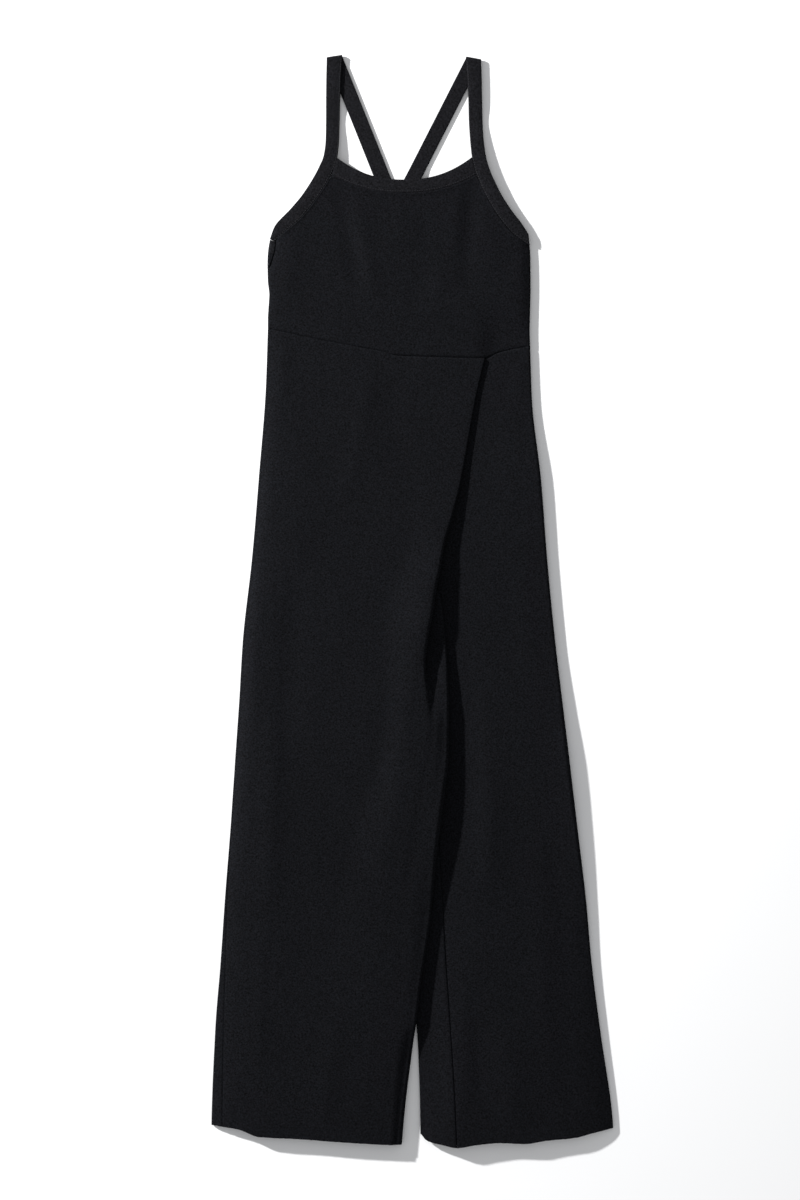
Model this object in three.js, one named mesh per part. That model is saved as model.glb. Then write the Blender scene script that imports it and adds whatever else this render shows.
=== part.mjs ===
// A wide-legged jumpsuit in black double knit, laid flat on its back on a table.
// The front bodice hangs from two straps that are one with the armhole bands. They fold over
// at the shoulder, cross at the back and end at the band along the top of the back bodice.
// Below the waist seam one deep knife pleat falls from the front and opens into the left leg.
//
// Millimetres. +X is right and +Y is up the garment as seen from above, +Z is up off the table,
// and left and right are as seen from above. The origin is on the table, under the middle.
import * as THREE from "three";

// Sizes of the cloth and of what is sewn from it.
const CLOTH = 1.2; // wall of a single layer of double knit
const BAND = 2.2; // wall of a band, which is the knit folded double
const SEAM = 0.45; // gap that is left where two pieces are sewn together
const BAND_WIDTH = 18;
const LYING = CLOTH / 2; // middle of a layer that lies on the table
const NEAR_SEAM = SEAM / 2; // each of two pieces keeps this far from their seam

// Heights along the garment.
const WAIST = 353; // the waist seam at mid side
const CROTCH = 36;
const HEM = -742;
const BACK_TOP = 496; // straight top edge of the back bodice

// The neckline, a shallow scoop.
const NECK_MIDDLE = -11.5;
const NECK_LOW = 580.3;
const NECK_RISE = 30;
const NECK_HALF = 92;
const NECK_SEAM_RISE = 24.5;
const NECK_SEAM_HALF = 99.5;
const NECK_POWER = 2.3;

// The waist seam, seen from above. It steps up where the pleat's fold ends it.
const WAIST_SEAM = [
  { x: -200, y: 375.4 },
  { x: -155, y: 365.8 },
  { x: -114, y: 357.4 },
  { x: -72, y: 349.4 },
  { x: -38, y: 343.4 },
  { x: -23, y: 339.0 },
  { x: 38, y: 336.6 },
  { x: 100, y: 335.0 },
  { x: 116, y: 341.4 },
  { x: 141, y: 347.8 },
  { x: 164, y: 351.4 },
];

// The hem, a cut edge that waves a little.
const HEM_LINE = [
  { x: -278, y: -722.0 },
  { x: -240, y: -727.0 },
  { x: -211, y: -737.0 },
  { x: -155, y: -739.8 },
  { x: -100, y: -743.8 },
  { x: -15, y: -748.0 },
  { x: 9, y: -733.5 },
  { x: 20, y: -743.6 },
  { x: 45, y: -749.2 },
  { x: 61, y: -752.0 },
  { x: 86, y: -748.2 },
  { x: 121, y: -745.2 },
  { x: 155, y: -746.4 },
  { x: 183, y: -742.4 },
  { x: 224, y: -738.4 },
  { x: 248, y: -732.6 },
  { x: 278, y: -726.0 },
];

// Outer sides of the bodice. At the left underarm the front has drawn in from the back's edge.
const BODICE_SIDES = [
  { y: 497, left: -196.6, frontLeft: -190.8, right: 161.0 },
  { y: 477, left: -199.6, frontLeft: -193.8, right: 162.4 },
  { y: 462, left: -200.0, frontLeft: -197.0, right: 162.6 },
  { y: 450, left: -199.8, frontLeft: -199.6, right: 162.8 },
  { y: 436, left: -199.4, frontLeft: -199.4, right: 162.8 },
  { y: 415, left: -197.4, frontLeft: -197.4, right: 162.4 },
  { y: 377, left: -199.4, frontLeft: -199.0, right: 161.6 },
  { y: 353, left: -199.4, frontLeft: -199.2, right: 162.2 },
];

// Outer sides of the legs, how high each rounded side fold stands, how high the front lies
// between them, over what width it rises from each fold, and how far round onto the front the
// left side seam has turned. The hem stands open, so the front arches highest there.
const LEGS = [
  { y: 353, left: -199.4, right: 162.2, leftFold: 4.4, rightFold: 4.4,
    leftFront: 6.8, rightFront: 4.8, leftEase: 8, rightEase: 12, seamTurn: 0 },
  { y: 277, left: -202.2, right: 164.9, leftFold: 3.6, rightFold: 4.8,
    leftFront: 8.8, rightFront: 5.0, leftEase: 9, rightEase: 20, seamTurn: 0 },
  { y: 167, left: -211.8, right: 177.3, leftFold: 3.6, rightFold: 7.0,
    leftFront: 10.8, rightFront: 5.8, leftEase: 10, rightEase: 34, seamTurn: 0 },
  { y: 57, left: -221.5, right: 185.8, leftFold: 3.6, rightFold: 6.6,
    leftFront: 12.2, rightFront: 5.8, leftEase: 11, rightEase: 34, seamTurn: 0 },
  { y: -54, left: -233.9, right: 196.6, leftFold: 3.6, rightFold: 6.4,
    leftFront: 13.4, rightFront: 6.2, leftEase: 11, rightEase: 30, seamTurn: 0 },
  { y: -137, left: -238.9, right: 206.5, leftFold: 3.6, rightFold: 8.0,
    leftFront: 14.0, rightFront: 6.8, leftEase: 11, rightEase: 26, seamTurn: 0 },
  { y: -219, left: -244.6, right: 216.4, leftFold: 3.6, rightFold: 10.4,
    leftFront: 14.4, rightFront: 7.6, leftEase: 11, rightEase: 20, seamTurn: 1 },
  { y: -316, left: -251.2, right: 227.8, leftFold: 3.6, rightFold: 9.2,
    leftFront: 14.2, rightFront: 7.4, leftEase: 14, rightEase: 16, seamTurn: 2.4 },
  { y: -413, left: -258.8, right: 239.4, leftFold: 3.4, rightFold: 6.4,
    leftFront: 13.4, rightFront: 7.4, leftEase: 22, rightEase: 20, seamTurn: 4.4 },
  { y: -495, left: -264.3, right: 246.6, leftFold: 3.2, rightFold: 5.0,
    leftFront: 12.8, rightFront: 8.2, leftEase: 26, rightEase: 25, seamTurn: 7.6 },
  { y: -606, left: -272.4, right: 260.0, leftFold: 3.0, rightFold: 4.2,
    leftFront: 12.4, rightFront: 10.4, leftEase: 28, rightEase: 32, seamTurn: 12.8 },
  { y: -722, left: -276.9, right: 275.4, leftFold: 2.8, rightFold: 3.0,
    leftFront: 12.8, rightFront: 12.4, leftEase: 30, rightEase: 34, seamTurn: 15.6 },
  { y: -752, left: -277.5, right: 277.5, leftFold: 2.8, rightFold: 2.8,
    leftFront: 13.0, rightFront: 12.8, leftEase: 30, rightEase: 34, seamTurn: 16 },
];

// The knife pleat in the left front. fold is its edge, outer and inner the length of cloth in its
// two turns, depth the cloth between them, turn how far it turns back, top the height of its
// edge, and the front climbs to that height from climbFrom to climbTo. Lower down the fold
// has opened out, and what is left of it is the crest of a soft ridge.
const PLEAT = [
  { y: 353, fold: 100, depth: 118, turn: 180, outer: 2.5, inner: 2.5, top: 6.4, climbFrom: -64, climbTo: -28 },
  { y: 310, fold: 90, depth: 110, turn: 180, outer: 2.6, inner: 2.5, top: 6.9, climbFrom: -66, climbTo: -27 },
  { y: 273, fold: 83.3, depth: 103, turn: 180, outer: 2.8, inner: 2.6, top: 7.6, climbFrom: -68, climbTo: -26 },
  { y: 204, fold: 72.6, depth: 90, turn: 180, outer: 3.8, inner: 2.8, top: 8.8, climbFrom: -60, climbTo: -10 },
  { y: 160, fold: 65.2, depth: 78, turn: 180, outer: 5.2, inner: 3.2, top: 10.2, climbFrom: -40, climbTo: 16 },
  { y: 126, fold: 57.4, depth: 69, turn: 180, outer: 7.4, inner: 3.6, top: 12.2, climbFrom: -20, climbTo: 26 },
  { y: 77, fold: 44.2, depth: 52, turn: 180, outer: 10.6, inner: 4.6, top: 15.0, climbFrom: -12, climbTo: 36 },
  { y: 52, fold: 40.2, depth: 42, turn: 180, outer: 13.0, inner: 5.0, top: 17.2, climbFrom: -22, climbTo: 34 },
  { y: 6, fold: 31.4, depth: 26, turn: 180, outer: 14.0, inner: 5.0, top: 20.0, climbFrom: -38, climbTo: 24 },
  { y: -19, fold: 28.0, depth: 18, turn: 178, outer: 14.0, inner: 4.4, top: 21.2, climbFrom: -44, climbTo: 21 },
  { y: -36, fold: 24.2, depth: 12, turn: 174, outer: 13.5, inner: 4.0, top: 21.6, climbFrom: -46, climbTo: 18 },
  { y: -60, fold: 20.6, depth: 6, turn: 170, outer: 13.0, inner: 3.8, top: 21.4, climbFrom: -44, climbTo: 14 },
  { y: -85, fold: 17.2, depth: 2, turn: 140, outer: 9.0, inner: 4.6, top: 20.4, climbFrom: -40, climbTo: 8 },
  { y: -102, fold: 17.4, depth: 1, turn: 104, outer: 6.4, inner: 5.0, top: 19.8, climbFrom: -40, climbTo: 5 },
  { y: -123, fold: 19.0, depth: 1, turn: 54, outer: 6.0, inner: 5.5, top: 19.2, climbFrom: -42, climbTo: 1 },
  { y: -144, fold: 20.6, depth: 1, turn: 30, outer: 6.0, inner: 5.5, top: 18.8, climbFrom: -43, climbTo: -3 },
  { y: -162, fold: 21.0, depth: 1, turn: 10, outer: 6.0, inner: 6.0, top: 18.6, climbFrom: -43, climbTo: -5 },
  { y: -206, fold: 16.0, depth: 2, turn: 5, outer: 7.0, inner: 7.0, top: 18.8, climbFrom: -47, climbTo: -11 },
  { y: -270, fold: 2.0, depth: 3, turn: 4, outer: 7.0, inner: 7.0, top: 19.6, climbFrom: -70, climbTo: -17 },
  { y: -316, fold: -6.0, depth: 3, turn: 3, outer: 7.0, inner: 7.0, top: 19.0, climbFrom: -86, climbTo: -25 },
  { y: -357, fold: -12.0, depth: 4, turn: 3, outer: 7.0, inner: 7.0, top: 17.6, climbFrom: -96, climbTo: -32 },
  { y: -400, fold: -18.0, depth: 4, turn: 2, outer: 7.0, inner: 7.0, top: 16.2, climbFrom: -106, climbTo: -38 },
  { y: -470, fold: -26.0, depth: 4, turn: 1, outer: 6.0, inner: 6.0, top: 15.2, climbFrom: -124, climbTo: -44 },
  { y: -550, fold: -32.0, depth: 4, turn: 1, outer: 6.0, inner: 6.0, top: 14.8, climbFrom: -150, climbTo: -52 },
  { y: -650, fold: -39.0, depth: 4, turn: 1, outer: 5.0, inner: 5.0, top: 13.8, climbFrom: -166, climbTo: -60 },
  { y: -752, fold: -44.0, depth: 4, turn: 1, outer: 5.0, inner: 5.0, top: 13.2, climbFrom: -176, climbTo: -66 },
];

// The inner edge of the left leg, which lies over the right leg: how far it is lifted off the
// table, how high its rounded fold stands, and how late the front falls to it.
const LEFT_INNER = [
  { y: 36, edge: 33.8, lift: 6.2, fold: 4.6, late: 1 },
  { y: -17, edge: 42.1, lift: 6.2, fold: 4.2, late: 1 },
  { y: -58, edge: 46.2, lift: 6.2, fold: 4.4, late: 1 },
  { y: -80, edge: 47.8, lift: 6.2, fold: 4.7, late: 1 },
  { y: -100, edge: 48.9, lift: 6.2, fold: 5.8, late: 1 },
  { y: -123, edge: 49.9, lift: 6.2, fold: 6.8, late: 1 },
  { y: -155, edge: 50.8, lift: 6.2, fold: 8.6, late: 1 },
  { y: -184, edge: 50.6, lift: 6.2, fold: 8.9, late: 1 },
  { y: -219, edge: 49.7, lift: 6.2, fold: 9.8, late: 1 },
  { y: -261, edge: 44.9, lift: 6.2, fold: 11.6, late: 1 },
  { y: -290, edge: 41.2, lift: 6.2, fold: 12.2, late: 1 },
  { y: -316, edge: 38.0, lift: 6.2, fold: 11.9, late: 1 },
  { y: -344, edge: 34.2, lift: 6.2, fold: 10.8, late: 1 },
  { y: -385, edge: 30.0, lift: 6.2, fold: 8.6, late: 1.2 },
  { y: -431, edge: 25.6, lift: 6.2, fold: 6.3, late: 1.6 },
  { y: -468, edge: 20.4, lift: 6.2, fold: 6.2, late: 1.8 },
  { y: -513, edge: 13.6, lift: 6.2, fold: 6.8, late: 1.9 },
  { y: -537, edge: 10.4, lift: 6.2, fold: 7.0, late: 1.9 },
  { y: -565, edge: 7.4, lift: 6.0, fold: 7.4, late: 1.8 },
  { y: -583, edge: 5.4, lift: 5.2, fold: 7.8, late: 1.6 },
  { y: -606, edge: 1.8, lift: 1.9, fold: 8.4, late: 1.4 },
  { y: -634, edge: -2.2, lift: 0, fold: 9.0, late: 1.3 },
  { y: -694, edge: -10.2, lift: 0, fold: 9.4, late: 1.3 },
  { y: -752, edge: -15.4, lift: 0, fold: 9.4, late: 1.3 },
];

// The centre seam down to the crotch and then the right leg's inseam, which has turned round
// onto the front, with the right leg's inner edge and how low the cloth under the left leg lies.
const RIGHT_INNER = [
  { y: 353, seam: -12, edge: 0, fold: 3.8, low: 3.2 },
  { y: 277, seam: -14, edge: 0, fold: 3.8, low: 3.6 },
  { y: 167, seam: -12, edge: 0, fold: 3.8, low: 4.2 },
  { y: 112, seam: -7, edge: 10, fold: 3.8, low: 4.5 },
  { y: 70, seam: 8, edge: 20, fold: 3.8, low: 4.6 },
  { y: 36, seam: 29, edge: 21.4, fold: 3.8, low: 4.6 },
  { y: -54, seam: 31, edge: 17.3, fold: 3.8, low: 4.6 },
  { y: -192, seam: 33, edge: 11.7, fold: 3.8, low: 4.6 },
  { y: -330, seam: 37, edge: 9.0, fold: 3.8, low: 4.6 },
  { y: -422, seam: 42.6, edge: 7.0, fold: 3.8, low: 4.6 },
  { y: -500, seam: 47.0, edge: 5.6, fold: 3.8, low: 4.6 },
  { y: -537, seam: 49.6, edge: 5.0, fold: 3.8, low: 4.6 },
  { y: -571, seam: 52.0, edge: 5.0, fold: 3.8, low: 4.6 },
  { y: -590, seam: 53.2, edge: 5.8, fold: 3.7, low: 4.5 },
  { y: -612, seam: 54.8, edge: 7.2, fold: 3.6, low: 4.4 },
  { y: -656, seam: 57.6, edge: 9.0, fold: 3.4, low: 4.2 },
  { y: -694, seam: 59.6, edge: 10.2, fold: 3.2, low: 3.9 },
  { y: -752, seam: 61.8, edge: 11.2, fold: 3.0, low: 3.6 },
];

// The armhole bands from the side seam up into the straps: both edges, and the height of the
// middle of the band. The last row is where the strap folds over at the shoulder.
const LEFT_BAND = [
  { outerX: -195.4, outerY: 509.0, innerX: -190.8, innerY: 495.6, height: 5.4 },
  { outerX: -182.9, outerY: 524.4, innerX: -171.8, innerY: 512.0, height: 6.2 },
  { outerX: -167.7, outerY: 540.2, innerX: -153.9, innerY: 527.9, height: 6.8 },
  { outerX: -153.4, outerY: 557.1, innerX: -138.7, innerY: 545.9, height: 7.0 },
  { outerX: -140.1, outerY: 576.8, innerX: -124.2, innerY: 566.6, height: 7.0 },
  { outerX: -129.0, outerY: 597.0, innerX: -111.8, innerY: 587.9, height: 6.8 },
  { outerX: -122.1, outerY: 614.6, innerX: -103.9, innerY: 609.4, height: 6.0 },
  { outerX: -119.6, outerY: 636.0, innerX: -101.2, innerY: 634.6, height: 4.2 },
  { outerX: -119.2, outerY: 662.0, innerX: -100.4, innerY: 662.0, height: 2.6 },
  { outerX: -119.1, outerY: 692.0, innerX: -99.6, innerY: 692.0, height: 3.8 },
  { outerX: -118.8, outerY: 721.0, innerX: -98.6, innerY: 722.0, height: 3.9 },
  { outerX: -118.2, outerY: 747.4, innerX: -96.6, innerY: 750.8, height: 3.8 },
];
const RIGHT_BAND = [
  { outerX: 159.8, outerY: 505.0, innerX: 161.4, innerY: 490.4, height: 5.4 },
  { outerX: 149.7, outerY: 521.0, innerX: 140.4, innerY: 503.9, height: 6.2 },
  { outerX: 138.4, outerY: 535.4, innerX: 124.6, innerY: 521.6, height: 6.8 },
  { outerX: 126.0, outerY: 553.8, innerX: 110.2, innerY: 542.6, height: 7.0 },
  { outerX: 116.0, outerY: 572.4, innerX: 98.6, innerY: 563.4, height: 7.0 },
  { outerX: 106.8, outerY: 593.2, innerX: 88.8, innerY: 586.2, height: 6.8 },
  { outerX: 101.2, outerY: 612.4, innerX: 82.2, innerY: 609.6, height: 6.0 },
  { outerX: 98.0, outerY: 637.0, innerX: 79.4, innerY: 635.8, height: 4.2 },
  { outerX: 96.6, outerY: 662.0, innerX: 77.8, innerY: 662.0, height: 2.6 },
  { outerX: 95.9, outerY: 692.0, innerX: 77.0, innerY: 692.0, height: 3.8 },
  { outerX: 95.4, outerY: 720.0, innerX: 75.8, innerY: 721.0, height: 3.9 },
  { outerX: 94.6, outerY: 744.6, innerX: 73.6, innerY: 748.4, height: 3.8 },
];

// Each strap runs from its fold down the back to the back band. slope is how far it moves
// sideways for each millimetre down, and over lists where the right strap climbs over the left.
const LEFT_BACK_SLOPE = 0.4;
const RIGHT_BACK_SLOPE = -0.51;
const STRAP_HEIGHT = [
  { y: 700, under: 1.1, over: 1.1 },
  { y: 646, under: 1.1, over: 1.1 },
  { y: 600, under: 1.1, over: 1.1 },
  { y: 582, under: 1.1, over: 2.6 },
  { y: 568, under: 1.1, over: 3.8 },
  { y: 540, under: 1.1, over: 3.8 },
  { y: 511, under: 1.1, over: 3.8 },
  { y: 496.4, under: 1.1, over: 1.1 },
];

// Soft drape folds of the bodice: each runs from one point to another, and stands above the
// cloth around it or, where rise is negative, below it.
const BODICE_FOLDS = [
  { fromX: -104, fromY: 588, toX: -74, toY: 400, half: 15, rise: -1.3 },
  { fromX: -90, fromY: 570, toX: -50, toY: 404, half: 12, rise: 1.1 },
  { fromX: 83, fromY: 588, toX: 75, toY: 404, half: 13, rise: -1.2 },
  { fromX: 66, fromY: 578, toX: 56, toY: 470, half: 12, rise: 0.9 },
  { fromX: -18, fromY: 560, toX: -14, toY: 480, half: 16, rise: 0.7 },
  { fromX: 17, fromY: 552, toX: 12, toY: 372, half: 12, rise: -0.5 },
];

// Long soft folds of the legs.
const LEG_FOLDS = [
  { fromX: -160, fromY: 60, toX: -176, toY: -250, half: 22, rise: -1.4 },
  { fromX: -188, fromY: -120, toX: -202, toY: -480, half: 17, rise: 1.5 },
  { fromX: -96, fromY: -540, toX: -126, toY: -750, half: 16, rise: 1.6 },
  { fromX: -150, fromY: 230, toX: -158, toY: 40, half: 24, rise: 0.9 },
  { fromX: 92, fromY: -90, toX: 108, toY: -420, half: 17, rise: 2.2 },
  { fromX: 150, fromY: 150, toX: 168, toY: -150, half: 20, rise: 1.0 },
  { fromX: 131, fromY: -560, toX: 138, toY: -740, half: 20, rise: 1.2 },
];

// A smooth curve through a table, from one column to another, that never overshoots its rows.
function curve(rows, from, to) {
  const sorted = [...rows].sort((a, b) => a[from] - b[from]);
  const at = sorted.map((row) => row[from]);
  const value = sorted.map((row) => row[to]);
  const last = at.length - 1;
  const slope = [];
  for (let i = 0; i < last; i++) {
    slope.push((value[i + 1] - value[i]) / (at[i + 1] - at[i]));
  }
  const tangent = value.map((_, i) => {
    if (i === 0) return slope[0];
    if (i === last) return slope[last - 1];
    const before = slope[i - 1];
    const after = slope[i];
    return before * after <= 0 ? 0 : (2 * before * after) / (before + after);
  });
  return (place) => {
    const p = Math.min(Math.max(place, at[0]), at[last]);
    let i = 0;
    while (i < last - 1 && p > at[i + 1]) i++;
    const width = at[i + 1] - at[i];
    const t = (p - at[i]) / width;
    const t2 = t * t;
    const t3 = t2 * t;
    return (
      (2 * t3 - 3 * t2 + 1) * value[i] +
      (t3 - 2 * t2 + t) * width * tangent[i] +
      (3 * t2 - 2 * t3) * value[i + 1] +
      (t3 - t2) * width * tangent[i + 1]
    );
  };
}

// All the columns of a table as curves of y, so that at(y) gives one row between the rows.
function table(rows) {
  const columns = Object.keys(rows[0]).filter((name) => name !== "y");
  const curves = columns.map((name) => [name, curve(rows, "y", name)]);
  return (y) => Object.fromEntries(curves.map(([name, f]) => [name, f(y)]));
}

const waistSeam = curve(WAIST_SEAM, "x", "y");
// The back's waist seam is straight, from one end of the front's to the other.
const backWaist = (x) => {
  const from = WAIST_SEAM[0];
  const to = WAIST_SEAM[WAIST_SEAM.length - 1];
  return mix(from.y, to.y, (x - from.x) / (to.x - from.x));
};
const hemLine = curve(HEM_LINE, "x", "y");
const bodiceSides = table(BODICE_SIDES);
const legs = table(LEGS);
const pleat = table(PLEAT);
const leftInner = table(LEFT_INNER);
const rightInner = table(RIGHT_INNER);

const mix = (a, b, t) => a + (b - a) * t;
const blend = (p, q, t) => p.map((value, i) => mix(value, q[i], t));
const steps = (count) => Array.from({ length: count + 1 }, (_, i) => i / count);

function smooth(t) {
  const c = Math.min(Math.max(t, 0), 1);
  return c * c * (3 - 2 * c);
}

// How much a list of folds lifts the cloth at one place.
function foldsAt(folds, x, y) {
  let lift = 0;
  for (const fold of folds) {
    const along = (fold.fromY - y) / (fold.fromY - fold.toY);
    const middle = mix(fold.fromX, fold.toX, along);
    const across = (x - middle) / fold.half;
    const fade = smooth(Math.min(along, 1 - along) / 0.3);
    lift += fold.rise * fade * Math.exp(-across * across);
  }
  return lift;
}

// A rounded side fold, followed by the length of cloth past its outermost point. Positive goes
// over the top and negative under. inward is +1 on a left side and -1 on a right one.
function roundFold(edgeX, inward, height, bottom, length, topAt) {
  const radius = height / 2;
  const quarter = (Math.PI / 2) * radius;
  const middle = edgeX + (inward * CLOTH) / 2;
  if (length >= quarter) {
    const x = middle + inward * (radius + length - quarter);
    return [x, topAt(x)];
  }
  if (length > -quarter) {
    const angle = length / radius;
    return [
      middle + inward * radius * (1 - Math.cos(angle)),
      bottom + radius + radius * Math.sin(angle),
    ];
  }
  return [middle + inward * (radius - quarter - length), bottom];
}

const quarterOf = (height) => (Math.PI / 4) * height;

// Height of cloth as it rises from a side fold to its full height, soonest at the fold.
function swell(side, flat, past, ease) {
  return flat + (side - flat) * Math.exp(-Math.max(past, 0) / ease);
}

// Height of the left front between the side fold and the pleat.
function leftTop(x, y) {
  const leg = legs(y);
  const crest = pleat(y);
  const past = x - (leg.left + CLOTH / 2 + leg.leftFold / 2);
  const side = LYING + leg.leftFold;
  const flat = leg.leftFront + foldsAt(LEG_FOLDS, x, y);
  const front = swell(side, flat, past, leg.leftEase);
  const climb = (x - crest.climbFrom) / (crest.climbTo - crest.climbFrom);
  return mix(front, crest.top, smooth(climb));
}

const COVER_EASE = 80; // width over which the right front rises from under the left

// Height of the right front, low where the pleat and the left leg lie on it.
function rightTop(x, y) {
  const leg = legs(y);
  const inner = rightInner(y);
  const cover = y > CROTCH ? pleat(y).fold : leftInner(y).edge;
  const flat = leg.rightFront + foldsAt(LEG_FOLDS, x, y);
  const front = mix(inner.low, flat, smooth((x - cover - 4) / COVER_EASE));
  const past = leg.right - CLOTH / 2 - leg.rightFold / 2 - x;
  return swell(LYING + leg.rightFold, front, past, leg.rightEase);
}

// Height of the left leg's back layer, which climbs over the right leg's inner edge.
const RAMP = 14;
const RAMP_END = 6;
function leftBottom(x, y) {
  const edge = rightInner(y).edge;
  const ramp = smooth((x - (edge - RAMP_END - RAMP)) / RAMP);
  return LYING + leftInner(y).lift * ramp;
}

// Below the crotch the four pieces part one after the other: the left leg lifts, the right
// back turns round the inner edge under it, and the left leg spreads over the right one.
const parted = (y, from, to) => smooth((CROTCH - from - y) / (to - from));
const liftAt = (y) => parted(y, 0, 12);
const turnAt = (y) => parted(y, 8, 28);
const spreadAt = (y) => parted(y, 13, 30);

// Lengths along the cloth from a seam near a side fold, over the fold, to the far end.
const TOP_STEPS = 13;
const QUARTER_STEPS = 2;
function lengthsOverFold(start, quarter, reach, count) {
  const over = Math.max(quarter, start + 2);
  const round = steps(QUARTER_STEPS).map((t) => mix(start, over, t));
  const flat = steps(count).slice(1);
  return [...round, ...flat.map((t) => mix(over, reach, mix(t * t, t, 0.4)))];
}

// The left front across one height: from the side seam over the top, back along the pleat, out
// again to the centre seam or, below the crotch, down round the leg's inner edge.
const TURN_STEPS = 4;
const DEPTH_STEPS = 2;
const RUN_STEPS = 4;
const ROUND_STEPS = 3;
function leftFrontAcross(y) {
  const leg = legs(y);
  const fold = pleat(y);
  const quarter = quarterOf(leg.leftFold);
  const crestX = fold.fold - CLOTH / 2 - fold.outer / Math.PI;
  const reach = crestX - (leg.left + CLOTH / 2 + leg.leftFold / 2) + quarter;
  const lengths = lengthsOverFold(leg.seamTurn + NEAR_SEAM, quarter, reach, TOP_STEPS);
  const points = lengths.map((length) =>
    roundFold(leg.left, 1, leg.leftFold, LYING, length, (x) => leftTop(x, y)),
  );
  // The two turns of the pleat, followed step by step along the cloth.
  const angle = (fold.turn * Math.PI) / 180;
  let [x, z] = points[points.length - 1];
  let heading = 0;
  const walk = (length, turned, count) => {
    for (let i = 0; i < count; i++) {
      heading += turned / count / 2;
      x += (length / count) * Math.cos(heading);
      z += (length / count) * Math.sin(heading);
      heading += turned / count / 2;
      points.push([x, z]);
    }
  };
  walk(fold.outer, -angle, TURN_STEPS);
  walk(fold.depth, 0, DEPTH_STEPS);
  walk(fold.inner, angle, TURN_STEPS);
  // Above the crotch the cloth runs on to the centre seam, below it to the inner edge.
  const runFrom = [x, z];
  const inner = leftInner(y);
  const seamX = rightInner(y).seam - NEAR_SEAM;
  const roundX = inner.edge - CLOTH / 2 - inner.fold / 2;
  const bottom = LYING + inner.lift;
  const total = RUN_STEPS + ROUND_STEPS;
  for (let i = 1; i <= total; i++) {
    const share = i / total;
    const aboveX = mix(runFrom[0], seamX, share);
    const aboveZ = mix(runFrom[1], rightTop(seamX, y), smooth(share));
    const run = Math.min(i / RUN_STEPS, 1);
    const fall = smooth(run ** inner.late);
    let below = [mix(runFrom[0], roundX, run), mix(runFrom[1], bottom + inner.fold, fall)];
    if (i > RUN_STEPS) {
      const left = ((total - i) / ROUND_STEPS) * quarterOf(inner.fold) + NEAR_SEAM;
      below = roundFold(inner.edge, -1, inner.fold, bottom, left, () => bottom + inner.fold);
      below[1] = mix(bottom + inner.fold, below[1], spreadAt(y));
    }
    points.push([mix(aboveX, below[0], spreadAt(y)), mix(aboveZ, below[1], liftAt(y))]);
  }
  return points;
}

// The left back: from the side seam round the side fold, along the table, and up over the
// right leg to the left leg's inner edge.
const SIDE_STEPS = 4;
const BACK_STEPS = 6;
const RAMP_STEPS = 5;
function leftBackAcross(y) {
  const leg = legs(y);
  const quarter = quarterOf(leg.leftFold);
  const start = leg.seamTurn - NEAR_SEAM;
  const over = Math.min(start - 0.4, quarter);
  const lengths = [start, ...steps(SIDE_STEPS).map((t) => mix(over, -quarter, t))];
  const points = lengths.map((length) =>
    roundFold(leg.left, 1, leg.leftFold, LYING, length, (x) => leftTop(x, y)),
  );
  const [fromX] = points[points.length - 1];
  const inner = leftInner(y);
  const seamX = rightInner(y).seam - NEAR_SEAM;
  const roundX = inner.edge - CLOTH / 2 - inner.fold / 2;
  const rampX = Math.min(rightInner(y).edge - RAMP_END - RAMP, roundX - 10);
  const bottom = LYING + inner.lift;
  const flatTo = mix(seamX - 24, rampX, spreadAt(y));
  for (let i = 1; i <= BACK_STEPS; i++) {
    points.push([mix(fromX, flatTo, i / BACK_STEPS), LYING]);
  }
  const total = RAMP_STEPS + ROUND_STEPS;
  for (let i = 1; i <= total; i++) {
    const aboveX = mix(flatTo, seamX, i / total);
    const x = mix(rampX, roundX, Math.min(i / RAMP_STEPS, 1));
    let below = [x, leftBottom(x, y)];
    if (i > RAMP_STEPS) {
      const left = ((total - i) / ROUND_STEPS) * quarterOf(inner.fold) + NEAR_SEAM;
      const sunk = (leftBottom(roundX, y) - bottom) * ((total - i) / ROUND_STEPS);
      below = roundFold(inner.edge, -1, inner.fold, bottom, -left, () => 0);
      below[1] = mix(bottom, below[1], spreadAt(y)) + sunk;
    }
    points.push([mix(aboveX, below[0], spreadAt(y)), mix(LYING, below[1], liftAt(y))]);
  }
  return points;
}

// The right front: from the centre seam or inseam to the right side seam.
function rightFrontAcross(y) {
  const leg = legs(y);
  const seamX = rightInner(y).seam + NEAR_SEAM;
  const quarter = quarterOf(leg.rightFold);
  const reach = leg.right - CLOTH / 2 - leg.rightFold / 2 - seamX + quarter;
  const lengths = lengthsOverFold(NEAR_SEAM, quarter, reach, TOP_STEPS).reverse();
  return lengths.map((length) =>
    roundFold(leg.right, -1, leg.rightFold, LYING, length, (x) => rightTop(x, y)),
  );
}

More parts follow.
